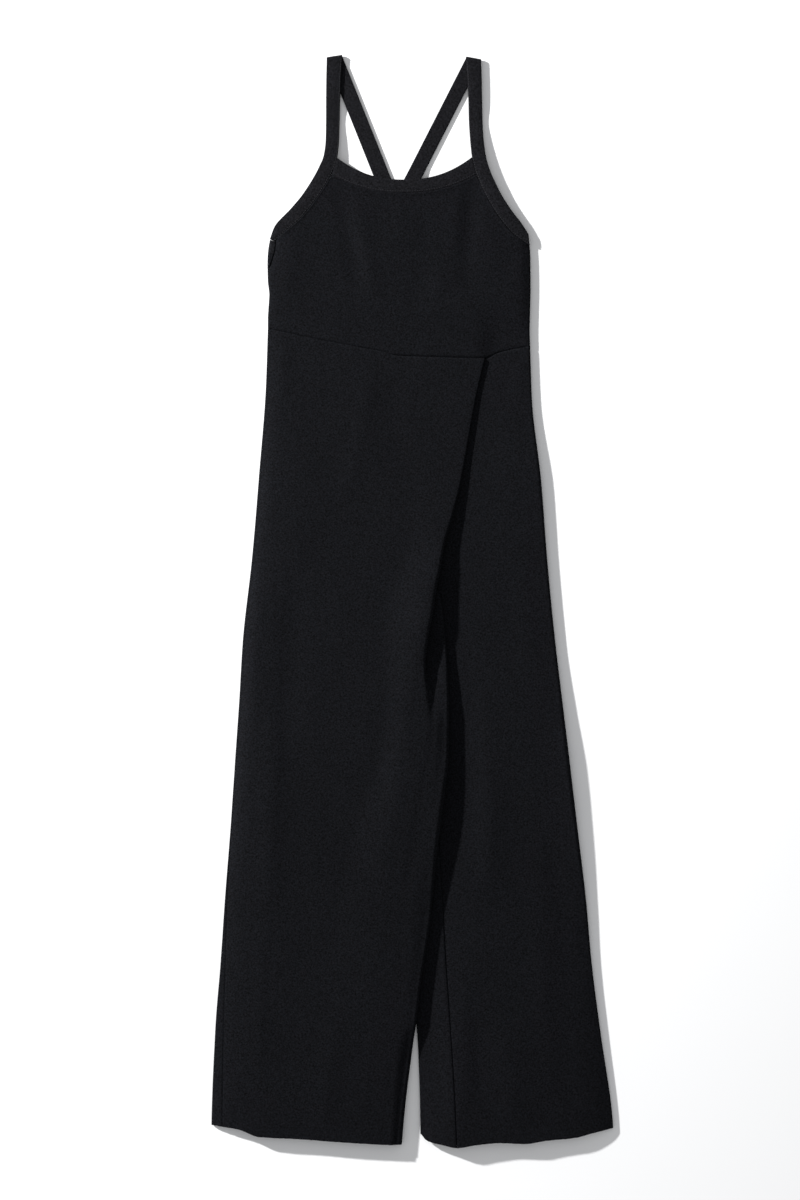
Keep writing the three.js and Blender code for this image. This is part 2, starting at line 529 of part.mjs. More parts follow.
// The right back: from the right side seam along the table to the centre seam or, below the
// crotch, round the leg's inner edge and over its top to the inseam.
const INSEAM_GAP = 0.3;
function rightBackAcross(y) {
  const leg = legs(y);
  const quarter = quarterOf(leg.rightFold);
  const points = steps(QUARTER_STEPS).map((t) =>
    roundFold(leg.right, -1, leg.rightFold, LYING, mix(-NEAR_SEAM, -quarter, t), () => 0),
  );
  const [fromX] = points[points.length - 1];
  const inner = rightInner(y);
  const side = mix(NEAR_SEAM, -INSEAM_GAP, parted(y, 0, 8));
  const roundX = inner.edge + CLOTH / 2 + inner.fold / 2;
  const flatTo = mix(inner.seam + 12, roundX, turnAt(y));
  for (let i = 1; i <= BACK_STEPS; i++) {
    points.push([mix(fromX, flatTo, i / BACK_STEPS), LYING]);
  }
  const innerQuarter = quarterOf(inner.fold);
  const turn = 2 * ROUND_STEPS;
  const topRun = inner.seam - INSEAM_GAP - roundX;
  const total = turn + 2;
  for (let i = 1; i <= total; i++) {
    const above = [mix(flatTo, inner.seam + side, i / total), LYING];
    const length =
      i <= turn
        ? mix(-innerQuarter, innerQuarter, i / turn)
        : innerQuarter + (topRun * (i - turn)) / (total - turn);
    const below = roundFold(inner.edge, 1, inner.fold, LYING, length, (x) => {
      const edgeZ = LYING + inner.fold;
      return mix(edgeZ, rightTop(x, y), smooth((x - roundX) / 12));
    });
    points.push(blend(above, below, turnAt(y)));
  }
  return points;
}

// Heights at which the legs are worked out, closer together where the pleat turns and opens.
const FORK_END = 4;
const THIGH_END = -170;
const LEG_ROWS = [
  ...steps(8).map((t) => mix(WAIST, CROTCH, t)),
  ...steps(7).slice(1).map((t) => mix(CROTCH, FORK_END, t)),
  ...steps(9).slice(1).map((t) => mix(FORK_END, THIGH_END, t)),
  ...steps(11).slice(1).map((t) => mix(THIGH_END, HEM, t)),
];

// A leg piece as a grid of points: the rows run from the waist seam to the hem. What the waist
// seam and the hem add to a row's height fades out over a length below and above them.
const WAIST_FADE = 260;
const HEM_FADE = 300;
function legGrid(across, waist) {
  return LEG_ROWS.map((y) =>
    across(y).map(([x, z]) => {
      const top = (waist(x) - NEAR_SEAM - WAIST) * (1 - smooth((WAIST - y) / WAIST_FADE));
      const end = (hemLine(x) - HEM) * (1 - smooth((y - HEM) / HEM_FADE));
      return [x, y + top + end, z];
    }),
  );
}

// A wall of one thickness over a grid of points in its middle, closed all round.
function wall(grid, thickness) {
  const rows = grid.length;
  const columns = grid[0].length;
  const point = (i, j) => new THREE.Vector3(...grid[i][j]);
  const toNext = (i, j) => point(i, j + 1).sub(point(i, j)).normalize();
  // The direction across the grid at a point, which runs on past the first and last column.
  const acrossAt = (i, j) => {
    if (j === 0) return toNext(i, 0).multiplyScalar(1.5).addScaledVector(toNext(i, 1), -0.5);
    if (j < columns - 1) return toNext(i, j - 1).add(toNext(i, j)).multiplyScalar(0.5);
    const end = toNext(i, columns - 2).multiplyScalar(1.5);
    return columns > 2 ? end.addScaledVector(toNext(i, columns - 3), -0.5) : end;
  };
  const position = [];
  for (const side of [0.5, -0.5]) {
    for (let i = 0; i < rows; i++) {
      for (let j = 0; j < columns; j++) {
        const along = point(Math.min(i + 1, rows - 1), j).sub(point(Math.max(i - 1, 0), j));
        const across = acrossAt(i, j);
        const widen = 1 / Math.max(across.length(), 0.8);
        const normal = along.cross(across).normalize();
        const moved = point(i, j).addScaledVector(normal, side * thickness * widen);
        position.push(moved.x, moved.y, moved.z);
      }
    }
  }
  const index = [];
  const quad = (a, b, c, d) => index.push(a, b, c, a, c, d);
  const layer = rows * columns;
  const id = (i, j, side) => side * layer + i * columns + j;
  for (let i = 0; i < rows - 1; i++) {
    for (let j = 0; j < columns - 1; j++) {
      quad(id(i, j, 0), id(i + 1, j, 0), id(i + 1, j + 1, 0), id(i, j + 1, 0));
      quad(id(i, j, 1), id(i, j + 1, 1), id(i + 1, j + 1, 1), id(i + 1, j, 1));
    }
    quad(id(i, 0, 1), id(i + 1, 0, 1), id(i + 1, 0, 0), id(i, 0, 0));
    const end = columns - 1;
    quad(id(i, end, 0), id(i + 1, end, 0), id(i + 1, end, 1), id(i, end, 1));
  }
  for (let j = 0; j < columns - 1; j++) {
    quad(id(0, j, 0), id(0, j + 1, 0), id(0, j + 1, 1), id(0, j, 1));
    const end = rows - 1;
    quad(id(end, j, 1), id(end, j + 1, 1), id(end, j + 1, 0), id(end, j, 0));
  }
  const geometry = new THREE.BufferGeometry();
  geometry.setAttribute("position", new THREE.Float32BufferAttribute(position, 3));
  geometry.setIndex(index);
  geometry.computeVertexNormals();
  return geometry;
}

const knit = new THREE.MeshStandardMaterial({ color: 0x1b1c20, roughness: 0.92, metalness: 0 });
const ribbed = new THREE.MeshStandardMaterial({ color: 0x202125, roughness: 0.9, metalness: 0 });

function piece(name, grid, thickness, material) {
  const mesh = new THREE.Mesh(wall(grid, thickness), material);
  mesh.name = name;
  return mesh;
}

// The front bodice's top edge takes its places from the armhole bands, with the neck seam
// between them.
const BODICE_FOLD = 4.4;
const NECK_STEPS = 10; // makes as many places above as below
const LAST_ARMHOLE = 5; // the band's row at the corner of the neckline
const neckLine = (x, rise, half, low) =>
  low + rise * Math.abs((x - NECK_MIDDLE) / half) ** NECK_POWER;
const neckEdge = (x) => neckLine(x, NECK_RISE, NECK_HALF, NECK_LOW);
const neckSeam = (x) => neckLine(x, NECK_SEAM_RISE, NECK_SEAM_HALF, NECK_LOW - BAND_WIDTH);

function neckPlaces() {
  const from = LEFT_BAND[LAST_ARMHOLE].innerX + 1;
  const to = RIGHT_BAND[LAST_ARMHOLE].innerX - 1;
  return steps(NECK_STEPS).map((t) => mix(from, to, t));
}

const ARMHOLE_GAP = 0.6; // the seam gap, measured straight down a slanting edge
function bodiceTop() {
  const armhole = (band) =>
    band.slice(0, LAST_ARMHOLE).map((row) => [row.innerX, row.innerY - ARMHOLE_GAP]);
  const neck = neckPlaces().map((x) => [x, neckSeam(x) - SEAM]);
  return [...armhole(LEFT_BAND), ...neck, ...armhole(RIGHT_BAND).reverse()];
}

// Places round a side fold: how far each is from the side and how high, in folds.
const FOLD_COLUMNS = steps(QUARTER_STEPS).map((t) => {
  const angle = (Math.PI / 2) * t;
  return { inset: (1 - Math.cos(angle)) / 2, height: (1 + Math.sin(angle)) / 2 };
});

// The front bodice's lower edge has the legs' own places along the waist seam, down off the
// pleat's fold to the right front, so that the gap between the pieces is the same all along.
function waistPlaces() {
  const left = leftFrontAcross(WAIST).slice(0, QUARTER_STEPS + TOP_STEPS + 1);
  const [crestX] = left[left.length - 1];
  const right = rightFrontAcross(WAIST).filter(([x]) => x > crestX + 5);
  return [...left, ...right];
}

const BODICE_FRONT = 7.2; // height of the front bodice at its middle
const BODICE_EASE = 5;
const BODICE_ROWS = 9;
function frontBodiceGrid() {
  const top = bodiceTop();
  const bottom = waistPlaces();
  const extra = QUARTER_STEPS;
  return steps(BODICE_ROWS).map((v) =>
    bottom.map(([waistX, waistZ], i) => {
      const [topX, topY] = top[Math.min(Math.max(i - extra, 0), top.length - 1)];
      const nominalY = mix(WAIST, topY, v);
      const side = bodiceSides(nominalY);
      const left = side.frontLeft + CLOTH / 2;
      const right = side.right - CLOTH / 2;
      const innerLeft = left + BODICE_FOLD / 2;
      const innerRight = right - BODICE_FOLD / 2;
      const settle = smooth(v * 2.4);
      const y = mix(waistSeam(waistX) + NEAR_SEAM, topY, v);
      const fromSide = Math.min(i, bottom.length - 1 - i);
      if (fromSide < extra) {
        const { inset, height } = FOLD_COLUMNS[fromSide];
        const start = FOLD_COLUMNS[0].height === height ? NEAR_SEAM : 0;
        const edge = i < extra ? left + BODICE_FOLD * inset : right - BODICE_FOLD * inset;
        const z = LYING + BODICE_FOLD * height + start;
        return [mix(waistX, edge, settle), y, mix(waistZ, z, settle)];
      }
      const x = mix(waistX, Math.min(Math.max(topX, innerLeft), innerRight), v);
      const near = Math.min(x - innerLeft, innerRight - x);
      const flat = BODICE_FRONT + foldsAt(BODICE_FOLDS, x, nominalY);
      const front = swell(LYING + BODICE_FOLD, flat, near, BODICE_EASE);
      return [x, y, mix(waistZ, front, settle)];
    }),
  ).reverse();
}

// The back bodice and the band along its top lie on the table and turn up at the sides.
function backGrid(middle, rows) {
  const shares = steps(BACK_STEPS + 2);
  return rows.map((yAt) => {
    const sample = yAt(NECK_MIDDLE);
    const side = bodiceSides(sample);
    const left = side.left + middle;
    const right = side.right - middle;
    const radius = BODICE_FOLD / 2 + LYING - middle;
    const lowered = NEAR_SEAM;
    const corner = (edge, inward) =>
      FOLD_COLUMNS.map(({ inset, height }) => [
        edge + inward * 2 * radius * inset,
        middle + 2 * radius * (1 - height) - lowered * (height === 0.5 ? 1 : 0),
      ]);
    const across = [
      ...corner(left, 1),
      ...shares.slice(1, -1).map((t) => [mix(left + radius, right - radius, t), middle]),
      ...corner(right, -1).reverse(),
    ];
    return across.map(([x, z]) => [x, yAt(x), z]);
  });
}

const BACK_ROWS = 4;
function backBodiceGrid() {
  const top = BACK_TOP - BAND_WIDTH - SEAM;
  const rows = steps(BACK_ROWS).map((v) => (x) => mix(top, backWaist(x) + NEAR_SEAM, v));
  return backGrid(LYING, rows);
}

function backBandGrid() {
  const rows = steps(1).map((v) => () => mix(BACK_TOP, BACK_TOP - BAND_WIDTH, v));
  return backGrid(BAND / 2, rows);
}

// The neck band, between the two armhole bands.
const NECK_HEIGHT = 7.0;
const NECK_DROP = 0.8; // how much lower the ends of the neckline lie than its middle
function neckBandGrid() {
  const places = neckPlaces();
  const lowFrom = places[0];
  const lowTo = places[places.length - 1];
  const corner = LAST_ARMHOLE + 1;
  const highFrom = LEFT_BAND[corner].innerX + 1;
  const highTo = RIGHT_BAND[corner].innerX - 1;
  return [1, 0.5, 0].map((v) =>
    places.map((lowX) => {
      const share = (lowX - lowFrom) / (lowTo - lowFrom);
      const highX = mix(highFrom, highTo, share);
      const drop = NECK_DROP * Math.abs(2 * share - 1) ** 2;
      return [mix(lowX, highX, v), mix(neckSeam(lowX), neckEdge(highX), v), NECK_HEIGHT - drop];
    }),
  );
}

// An armhole band and its strap as one strip: up the front, over the fold at the shoulder and
// down the back. Its columns run from the outer edge to the inner one.
const STRAP_COLUMNS = 2;
const SHOULDER_STEPS = 4;
function strapGrid(band, slope, layer) {
  const across = steps(STRAP_COLUMNS);
  const grid = band.map((row) =>
    across.map((t) => [
      mix(row.outerX, row.innerX, t),
      mix(row.outerY, row.innerY, t),
      row.height,
    ]),
  );
  const foldRow = band[band.length - 1];
  const outer = new THREE.Vector2(foldRow.outerX, foldRow.outerY);
  const inner = new THREE.Vector2(foldRow.innerX, foldRow.innerY);
  const line = inner.clone().sub(outer).normalize();
  const up = new THREE.Vector2(-line.y, line.x);
  if (up.y < 0) up.negate();
  const lying = BAND / 2;
  const radius = (foldRow.height - lying) / 2;
  for (let i = 1; i <= SHOULDER_STEPS; i++) {
    const angle = (Math.PI * i) / SHOULDER_STEPS;
    const out = radius * Math.sin(angle);
    const z = lying + radius + radius * Math.cos(angle);
    grid.push(
      across.map((t) => {
        const x = mix(outer.x, inner.x, t) + up.x * out;
        const y = mix(outer.y, inner.y, t) + up.y * out;
        return [x, y, z];
      }),
    );
  }
  for (const row of STRAP_HEIGHT) {
    grid.push(
      across.map((t) => {
        const fromX = mix(outer.x, inner.x, t);
        const fromY = mix(outer.y, inner.y, t);
        return [fromX + slope * (fromY - row.y), row.y, row[layer]];
      }),
    );
  }
  return grid;
}

const mirrored = (grid) => grid.map((row) => [...row].reverse());

const jumpsuit = new THREE.Group();
jumpsuit.add(
  piece("front_bodice", frontBodiceGrid(), CLOTH, knit),
  piece("back_bodice", backBodiceGrid(), CLOTH, knit),
  piece("neck_band", neckBandGrid(), BAND, ribbed),
  piece("back_band", backBandGrid(), BAND, ribbed),
  piece("left_armhole_band_and_strap", mirrored(strapGrid(LEFT_BAND, LEFT_BACK_SLOPE, "under")), BAND, ribbed),
  piece("right_armhole_band_and_strap", strapGrid(RIGHT_BAND, RIGHT_BACK_SLOPE, "over"), BAND, ribbed),
  piece("left_leg_front", legGrid(leftFrontAcross, waistSeam), CLOTH, knit),
  piece("left_leg_back", mirrored(legGrid(leftBackAcross, backWaist)), CLOTH, knit),
  piece("right_leg_front", legGrid(rightFrontAcross, waistSeam), CLOTH, knit),
  piece("right_leg_back", legGrid(rightBackAcross, backWaist), CLOTH, knit),
);

export default jumpsuit;
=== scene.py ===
# %% [markdown]
# A jumpsuit is two garments in one: a fitted bodice and a pair of wide legs, joined by a seam
# at the waist. This one is cut from a fine black double knit and lies on its back on a table.
# Black cloth shows its shape only by its sheen and by the edges of its shadows, so this lesson
# spends its effort on soft form and on light that comes in low from one side. It starts by
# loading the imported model, whose solids it will dress one by one.

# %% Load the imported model
import math
from types import SimpleNamespace

import bpy
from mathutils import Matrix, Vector, noise


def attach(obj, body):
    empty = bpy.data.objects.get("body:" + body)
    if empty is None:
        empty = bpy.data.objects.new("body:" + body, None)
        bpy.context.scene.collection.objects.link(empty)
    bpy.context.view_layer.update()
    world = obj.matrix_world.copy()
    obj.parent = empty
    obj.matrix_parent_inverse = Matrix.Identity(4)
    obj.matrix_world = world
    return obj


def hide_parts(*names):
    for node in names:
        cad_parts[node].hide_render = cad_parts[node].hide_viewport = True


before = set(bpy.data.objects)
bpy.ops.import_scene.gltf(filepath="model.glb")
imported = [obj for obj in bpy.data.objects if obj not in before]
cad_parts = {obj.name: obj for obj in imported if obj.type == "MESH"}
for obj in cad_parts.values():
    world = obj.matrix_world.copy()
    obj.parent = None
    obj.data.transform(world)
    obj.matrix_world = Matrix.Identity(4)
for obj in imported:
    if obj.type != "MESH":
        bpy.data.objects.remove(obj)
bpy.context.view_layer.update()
MM = 0.001
print("nodes:", ", ".join(sorted(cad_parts)))

# %% [markdown]
# The camera looks straight down, as a camera on a copy stand does, so the garment is neither
# foreshortened nor turned. The long side of the view is worked out from the real width that
# one point of the picture covers, and a long lens from three metres up keeps the raised
# folds from leaning outwards.

# %% Set the camera
POINT_WIDTH = 1.38  # millimetres of garment in one point of the picture
PICTURE_HEIGHT = 1200
AIM = (-17.2, 1.4)
CAMERA_HEIGHT = 3.2

bpy.ops.object.select_all(action="DESELECT")
bpy.ops.object.camera_add(location=(AIM[0] * MM, AIM[1] * MM, CAMERA_HEIGHT))
camera = bpy.context.object
camera.name = "copy_stand_camera"
camera.data.sensor_width = 36
camera.data.lens = 36 * CAMERA_HEIGHT / (PICTURE_HEIGHT * POINT_WIDTH * MM)
camera.data.clip_end = 50
bpy.context.scene.camera = camera
print("lens", round(camera.data.lens, 1), "mm")

# %% [markdown]
# The light does most of the drawing. One low lamp from the upper left rakes across the cloth:
# every ridge gets a lit flank and every edge a narrow shadow on its right. An even white sky
# fills those shadows, so that they stay grey on the table. The table is a plain white sheet
# just under the cloth.

# %% Light the table
KEY_RISE = 20  # degrees above the table
KEY_TURN = 30  # degrees that its shadows turn down from the right
KEY_DISTANCE = 4.2
KEY_WIDTH = 0.18
KEY_STRENGTH = 8.0  # light on a sheet that faces the lamp, at the middle of the table
SKY_STRENGTH = 0.47

rise, turn = math.radians(KEY_RISE), math.radians(KEY_TURN)
level = math.cos(rise)
key_direction = Vector((level * math.cos(turn), -level * math.sin(turn), -math.sin(rise)))
bpy.ops.object.light_add(type="AREA", location=-key_direction * KEY_DISTANCE)
key = bpy.context.object
key.name = "low_key_light"
key.rotation_euler = key_direction.to_track_quat("-Z", "Y").to_euler()
key.data.shape = "DISK"
key.data.size = KEY_WIDTH
key.data.energy = KEY_STRENGTH * math.pi * KEY_DISTANCE**2

sky = bpy.data.worlds.new("even_sky")
sky.use_nodes = True
sky.node_tree.nodes["Background"].inputs["Color"].default_value = (0.97, 0.98, 1.0, 1)
sky.node_tree.nodes["Background"].inputs["Strength"].default_value = SKY_STRENGTH
bpy.context.scene.world = sky
bpy.context.scene.view_settings.view_transform = "Standard"


def new_material(name, roughness, specular):
    """A material with nodes, and the inputs of its surface."""
    material = bpy.data.materials.new(name)
    material.use_nodes = True
    surface = material.node_tree.nodes["Principled BSDF"].inputs
    surface["Roughness"].default_value = roughness
    surface["Specular IOR Level"].default_value = specular
    return material, surface


TABLE_SIZE = 12
TABLE_DROP = 0.0004
bpy.ops.object.select_all(action="DESELECT")
bpy.ops.mesh.primitive_plane_add(size=TABLE_SIZE, location=(0, 0, -TABLE_DROP))
table_top = bpy.context.object
table_top.name = "table_top"
paper, paper_surface = new_material("white_paper", 0.95, 0.1)
paper_surface["Base Color"].default_value = (0.95, 0.95, 0.95, 1)
table_top.data.materials.append(paper)
print("key light points", [round(value, 2) for value in key_direction])

# %% [markdown]
# Cloth is laid out here the way a pattern cutter measures it: at a number of heights, in
# millimetres, with the side edges, the height of the folds and the turns of the pleat in a
# table. Each table has a row for a height or a fold and a name for each column, and a smooth
# curve runs through its rows. The numbers are the CAD model's own, so each piece of cloth ends
# up on the solid that it replaces.

# %% Sizes of the cloth
CLOTH = 1.2  # a single layer
BAND = 2.2  # the knit folded double
SEAM = 0.16  # the fine dark line between two pieces that are sewn together
NEAR_SEAM = SEAM / 2
LYING = CLOTH / 2
BAND_WIDTH = 18
WAIST = 353
CROTCH = 36
HEM = -742
BACK_TOP = 496
print("from the back's top edge to the hem", BACK_TOP - HEM, "mm")

# %% Tables and smooth curves
def rows(names, *values):
    """Makes a table from the names of its columns and its rows."""
    return [dict(zip(names.split(), row)) for row in values]


def curve(table_rows, start, end):
    """Runs a smooth curve through two columns of a table, and never overshoots its rows."""
    ordered = sorted(table_rows, key=lambda row: row[start])
    at = [row[start] for row in ordered]
    value = [row[end] for row in ordered]
    last = len(at) - 1
    slope = [(value[i + 1] - value[i]) / (at[i + 1] - at[i]) for i in range(last)]
    tangent = [slope[0]]
    for before, after in zip(slope, slope[1:]):
        same_way = before * after > 0
        tangent.append(2 * before * after / (before + after) if same_way else 0)
    tangent.append(slope[-1])

    def value_at(place):
        p = min(max(place, at[0]), at[last])
        i = 0
        while i < last - 1 and p > at[i + 1]:
            i += 1
        width = at[i + 1] - at[i]
        t = (p - at[i]) / width
        t2 = t * t
        t3 = t2 * t
        return (
            (2 * t3 - 3 * t2 + 1) * value[i]
            + (t3 - 2 * t2 + t) * width * tangent[i]
            + (3 * t2 - 2 * t3) * value[i + 1]
            + (t3 - t2) * width * tangent[i + 1]
        )

    return value_at


def columns(table_rows, start="y"):
    """All the columns of a table as curves of one of them."""
    names = [name for name in table_rows[0] if name != start]
    curves = {name: curve(table_rows, start, name) for name in names}
    return lambda place: SimpleNamespace(**{n: f(place) for n, f in curves.items()})


def mix(a, b, t):
    return a + (b - a) * t


def smooth(t):
    c = min(max(t, 0), 1)
    return c * c * (3 - 2 * c)


def steps(count):
    return [i / count for i in range(count + 1)]


print("a smooth step at a third", round(smooth(1 / 3), 3))

# %% The lines of the seams and the hem
WAIST_SEAM = rows(
    "x y",
    (-200, 375.4),
    (-155, 365.8),
    (-114, 357.4),
    (-72, 349.4),
    (-38, 343.4),
    (-23, 339.0),
    (38, 336.6),
    (100, 335.0),
    (116, 341.4),
    (141, 347.8),
    (164, 351.4),
)
HEM_LINE = rows(
    "x y",
    (-278, -722.0),
    (-240, -727.0),
    (-211, -737.0),
    (-155, -739.8),
    (-100, -743.8),
    (-15, -748.0),
    (9, -733.5),
    (20, -743.6),
    (45, -749.2),
    (61, -752.0),
    (86, -748.2),
    (121, -745.2),
    (155, -746.4),
    (183, -742.4),
    (224, -738.4),
    (248, -732.6),
    (278, -726.0),
)
BODICE_SIDES = rows(
    "y left front_left right",
    (497, -196.6, -190.8, 161.0),
    (477, -199.6, -193.8, 162.4),
    (462, -200.0, -197.0, 162.6),
    (450, -199.8, -199.6, 162.8),
    (436, -199.4, -199.4, 162.8),
    (415, -197.4, -197.4, 162.4),
    (377, -199.4, -199.0, 161.6),
    (353, -199.4, -199.2, 162.2),
)
waist_seam = curve(WAIST_SEAM, "x", "y")
hem_line = curve(HEM_LINE, "x", "y")
bodice_sides = columns(BODICE_SIDES)


def back_waist(x):
    """The back's waist seam, straight from one end of the front's to the other."""
    first, last = WAIST_SEAM[0], WAIST_SEAM[-1]
    return mix(first["y"], last["y"], (x - first["x"]) / (last["x"] - first["x"]))


print("waist seam at the middle", round(waist_seam(0), 1), "mm up")

# %% The sections of the legs
LEGS = rows(
    "y left right left_fold right_fold left_front right_front left_ease right_ease seam_turn",
    (353, -199.4, 162.2, 4.4, 4.4, 6.8, 4.8, 8, 12, 0),
    (277, -202.2, 164.9, 3.6, 4.8, 8.8, 5.0, 9, 20, 0),
    (167, -211.8, 177.3, 3.6, 7.0, 10.8, 5.8, 10, 34, 0),
    (57, -221.5, 185.8, 3.6, 6.6, 12.2, 5.8, 11, 34, 0),
    (-54, -233.9, 196.6, 3.6, 6.4, 13.4, 6.2, 11, 30, 0),
    (-137, -238.9, 206.5, 3.6, 8.0, 14.0, 6.8, 11, 26, 0),
    (-219, -244.6, 216.4, 3.6, 10.4, 14.4, 7.6, 11, 20, 1),
    (-316, -251.2, 227.8, 3.6, 9.2, 14.2, 7.4, 14, 16, 2.4),
    (-413, -258.8, 239.4, 3.4, 6.4, 13.4, 7.4, 22, 20, 4.4),
    (-495, -264.3, 246.6, 3.2, 5.0, 12.8, 8.2, 26, 25, 7.6),
    (-606, -272.4, 260.0, 3.0, 4.2, 12.4, 10.4, 28, 32, 12.8),
    (-722, -276.9, 275.4, 2.8, 3.0, 12.8, 12.4, 30, 34, 15.6),
    (-752, -277.5, 277.5, 2.8, 2.8, 13.0, 12.8, 30, 34, 16),
)
PLEAT = rows(
    "y fold depth turn outer inner top climb_from climb_to",
    (353, 100, 118, 180, 2.5, 2.5, 6.4, -64, -28),
    (310, 90, 110, 180, 2.6, 2.5, 6.9, -66, -27),
    (273, 83.3, 103, 180, 2.8, 2.6, 7.6, -68, -26),
    (204, 72.6, 90, 180, 3.8, 2.8, 8.8, -60, -10),
    (160, 65.2, 78, 180, 5.2, 3.2, 10.2, -40, 16),
    (126, 57.4, 69, 180, 7.4, 3.6, 12.2, -20, 26),
    (77, 44.2, 52, 180, 10.6, 4.6, 15.0, -12, 36),
    (52, 40.2, 42, 180, 13.0, 5.0, 17.2, -22, 34),
    (6, 31.4, 26, 180, 14.0, 5.0, 20.0, -38, 24),
    (-19, 28.0, 18, 178, 14.0, 4.4, 21.2, -44, 21),
    (-36, 24.2, 12, 174, 13.5, 4.0, 21.6, -46, 18),
    (-60, 20.6, 6, 170, 13.0, 3.8, 21.4, -44, 14),
    (-85, 17.2, 2, 140, 9.0, 4.6, 20.4, -40, 8),
    (-102, 17.4, 1, 104, 6.4, 5.0, 19.8, -40, 5),
    (-123, 19.0, 1, 54, 6.0, 5.5, 19.2, -42, 1),
    (-144, 20.6, 1, 30, 6.0, 5.5, 18.8, -43, -3),
    (-162, 21.0, 1, 10, 6.0, 6.0, 18.6, -43, -5),
    (-206, 16.0, 2, 5, 7.0, 7.0, 18.8, -47, -11),
    (-270, 2.0, 3, 4, 7.0, 7.0, 19.6, -70, -17),
    (-316, -6.0, 3, 3, 7.0, 7.0, 19.0, -86, -25),
    (-357, -12.0, 4, 3, 7.0, 7.0, 17.6, -96, -32),
    (-400, -18.0, 4, 2, 7.0, 7.0, 16.2, -106, -38),
    (-470, -26.0, 4, 1, 6.0, 6.0, 15.2, -124, -44),
    (-550, -32.0, 4, 1, 6.0, 6.0, 14.8, -150, -52),
    (-650, -39.0, 4, 1, 5.0, 5.0, 13.8, -166, -60),
    (-752, -44.0, 4, 1, 5.0, 5.0, 13.2, -176, -66),
)
LEFT_INNER = rows(
    "y edge lift fold late",
    (36, 33.8, 6.2, 4.6, 1),
    (-17, 42.1, 6.2, 4.2, 1),
    (-58, 46.2, 6.2, 4.4, 1),
    (-80, 47.8, 6.2, 4.7, 1),
    (-100, 48.9, 6.2, 5.8, 1),
    (-123, 49.9, 6.2, 6.8, 1),
    (-155, 50.8, 6.2, 8.6, 1),
    (-184, 50.6, 6.2, 8.9, 1),
    (-219, 49.7, 6.2, 9.8, 1),
    (-261, 44.9, 6.2, 11.6, 1),
    (-290, 41.2, 6.2, 12.2, 1),
    (-316, 38.0, 6.2, 11.9, 1),
    (-344, 34.2, 6.2, 10.8, 1),
    (-385, 30.0, 6.2, 8.6, 1.2),
    (-431, 25.6, 6.2, 6.3, 1.6),
    (-468, 20.4, 6.2, 6.2, 1.8),
    (-513, 13.6, 6.2, 6.8, 1.9),
    (-537, 10.4, 6.2, 7.0, 1.9),
    (-565, 7.4, 6.0, 7.4, 1.8),
    (-583, 5.4, 5.2, 7.8, 1.6),
    (-606, 1.8, 1.9, 8.4, 1.4),
    (-634, -2.2, 0, 9.0, 1.3),
    (-694, -10.2, 0, 9.4, 1.3),
    (-752, -15.4, 0, 9.4, 1.3),
)
RIGHT_INNER = rows(
    "y seam edge fold low",
    (353, -12, 0, 3.8, 3.2),
    (277, -14, 0, 3.8, 3.6),
    (167, -12, 0, 3.8, 4.2),
    (112, -7, 10, 3.8, 4.5),
    (70, 8, 20, 3.8, 4.6),
    (36, 29, 21.4, 3.8, 4.6),
    (-54, 31, 17.3, 3.8, 4.6),
    (-192, 33, 11.7, 3.8, 4.6),
    (-330, 37, 9.0, 3.8, 4.6),
    (-422, 42.6, 7.0, 3.8, 4.6),
    (-500, 47.0, 5.6, 3.8, 4.6),
    (-537, 49.6, 5.0, 3.8, 4.6),
    (-571, 52.0, 5.0, 3.8, 4.6),
    (-590, 53.2, 5.8, 3.7, 4.5),
    (-612, 54.8, 7.2, 3.6, 4.4),
    (-656, 57.6, 9.0, 3.4, 4.2),
    (-694, 59.6, 10.2, 3.2, 3.9),
    (-752, 61.8, 11.2, 3.0, 3.6),
)
legs = columns(LEGS)
pleat = columns(PLEAT)
left_inner = columns(LEFT_INNER)
right_inner = columns(RIGHT_INNER)
print("pleat depth at the waist", pleat(WAIST).depth, "mm")

# %% The bands and straps
LEFT_BAND = rows(
    "outer_x outer_y inner_x inner_y height",
    (-196.4, 498.5, -190.8, 495.4, 5.4),
    (-190.0, 515.8, -179.6, 505.8, 6.0),
    (-167.7, 540.2, -153.9, 527.9, 6.8),
    (-153.4, 557.1, -138.7, 545.9, 7.0),
    (-140.1, 576.8, -124.2, 566.6, 7.0),
    (-129.0, 597.0, -111.8, 587.9, 6.8),
    (-122.1, 614.6, -103.9, 609.4, 6.0),
    (-119.6, 636.0, -101.2, 634.6, 4.2),
    (-119.2, 662.0, -100.4, 662.0, 2.6),
    (-119.1, 692.0, -99.6, 692.0, 3.8),
    (-118.8, 721.0, -98.6, 722.0, 3.9),
    (-118.2, 747.4, -96.6, 750.8, 3.8),
)
RIGHT_BAND = rows(
    "outer_x outer_y inner_x inner_y height",
    (159.8, 505.0, 161.4, 490.4, 5.4),
    (149.7, 521.0, 140.4, 503.9, 6.2),
    (138.4, 535.4, 124.6, 521.6, 6.8),
    (126.0, 553.8, 110.2, 542.6, 7.0),
    (116.0, 572.4, 98.6, 563.4, 7.0),
    (106.8, 593.2, 88.8, 586.2, 6.8),
    (101.2, 612.4, 82.2, 609.6, 6.0),
    (98.0, 637.0, 79.4, 635.8, 4.2),
    (96.6, 662.0, 77.8, 662.0, 2.6),
    (95.9, 692.0, 77.0, 692.0, 3.8),
    (95.4, 720.0, 75.8, 721.0, 3.9),
    (94.6, 744.6, 73.6, 748.4, 3.8),
)
LEFT_BACK_SLOPE = 0.4
RIGHT_BACK_SLOPE = -0.51
STRAP_HEIGHT = rows(
    "y under over",
    (760, 1.1, 1.1),
    (600, 1.1, 1.1),
    (582, 1.1, 2.6),
    (568, 1.1, 3.8),
    (511, 1.1, 3.8),
    (496, 1.1, 1.1),
)
strap_height = columns(STRAP_HEIGHT)


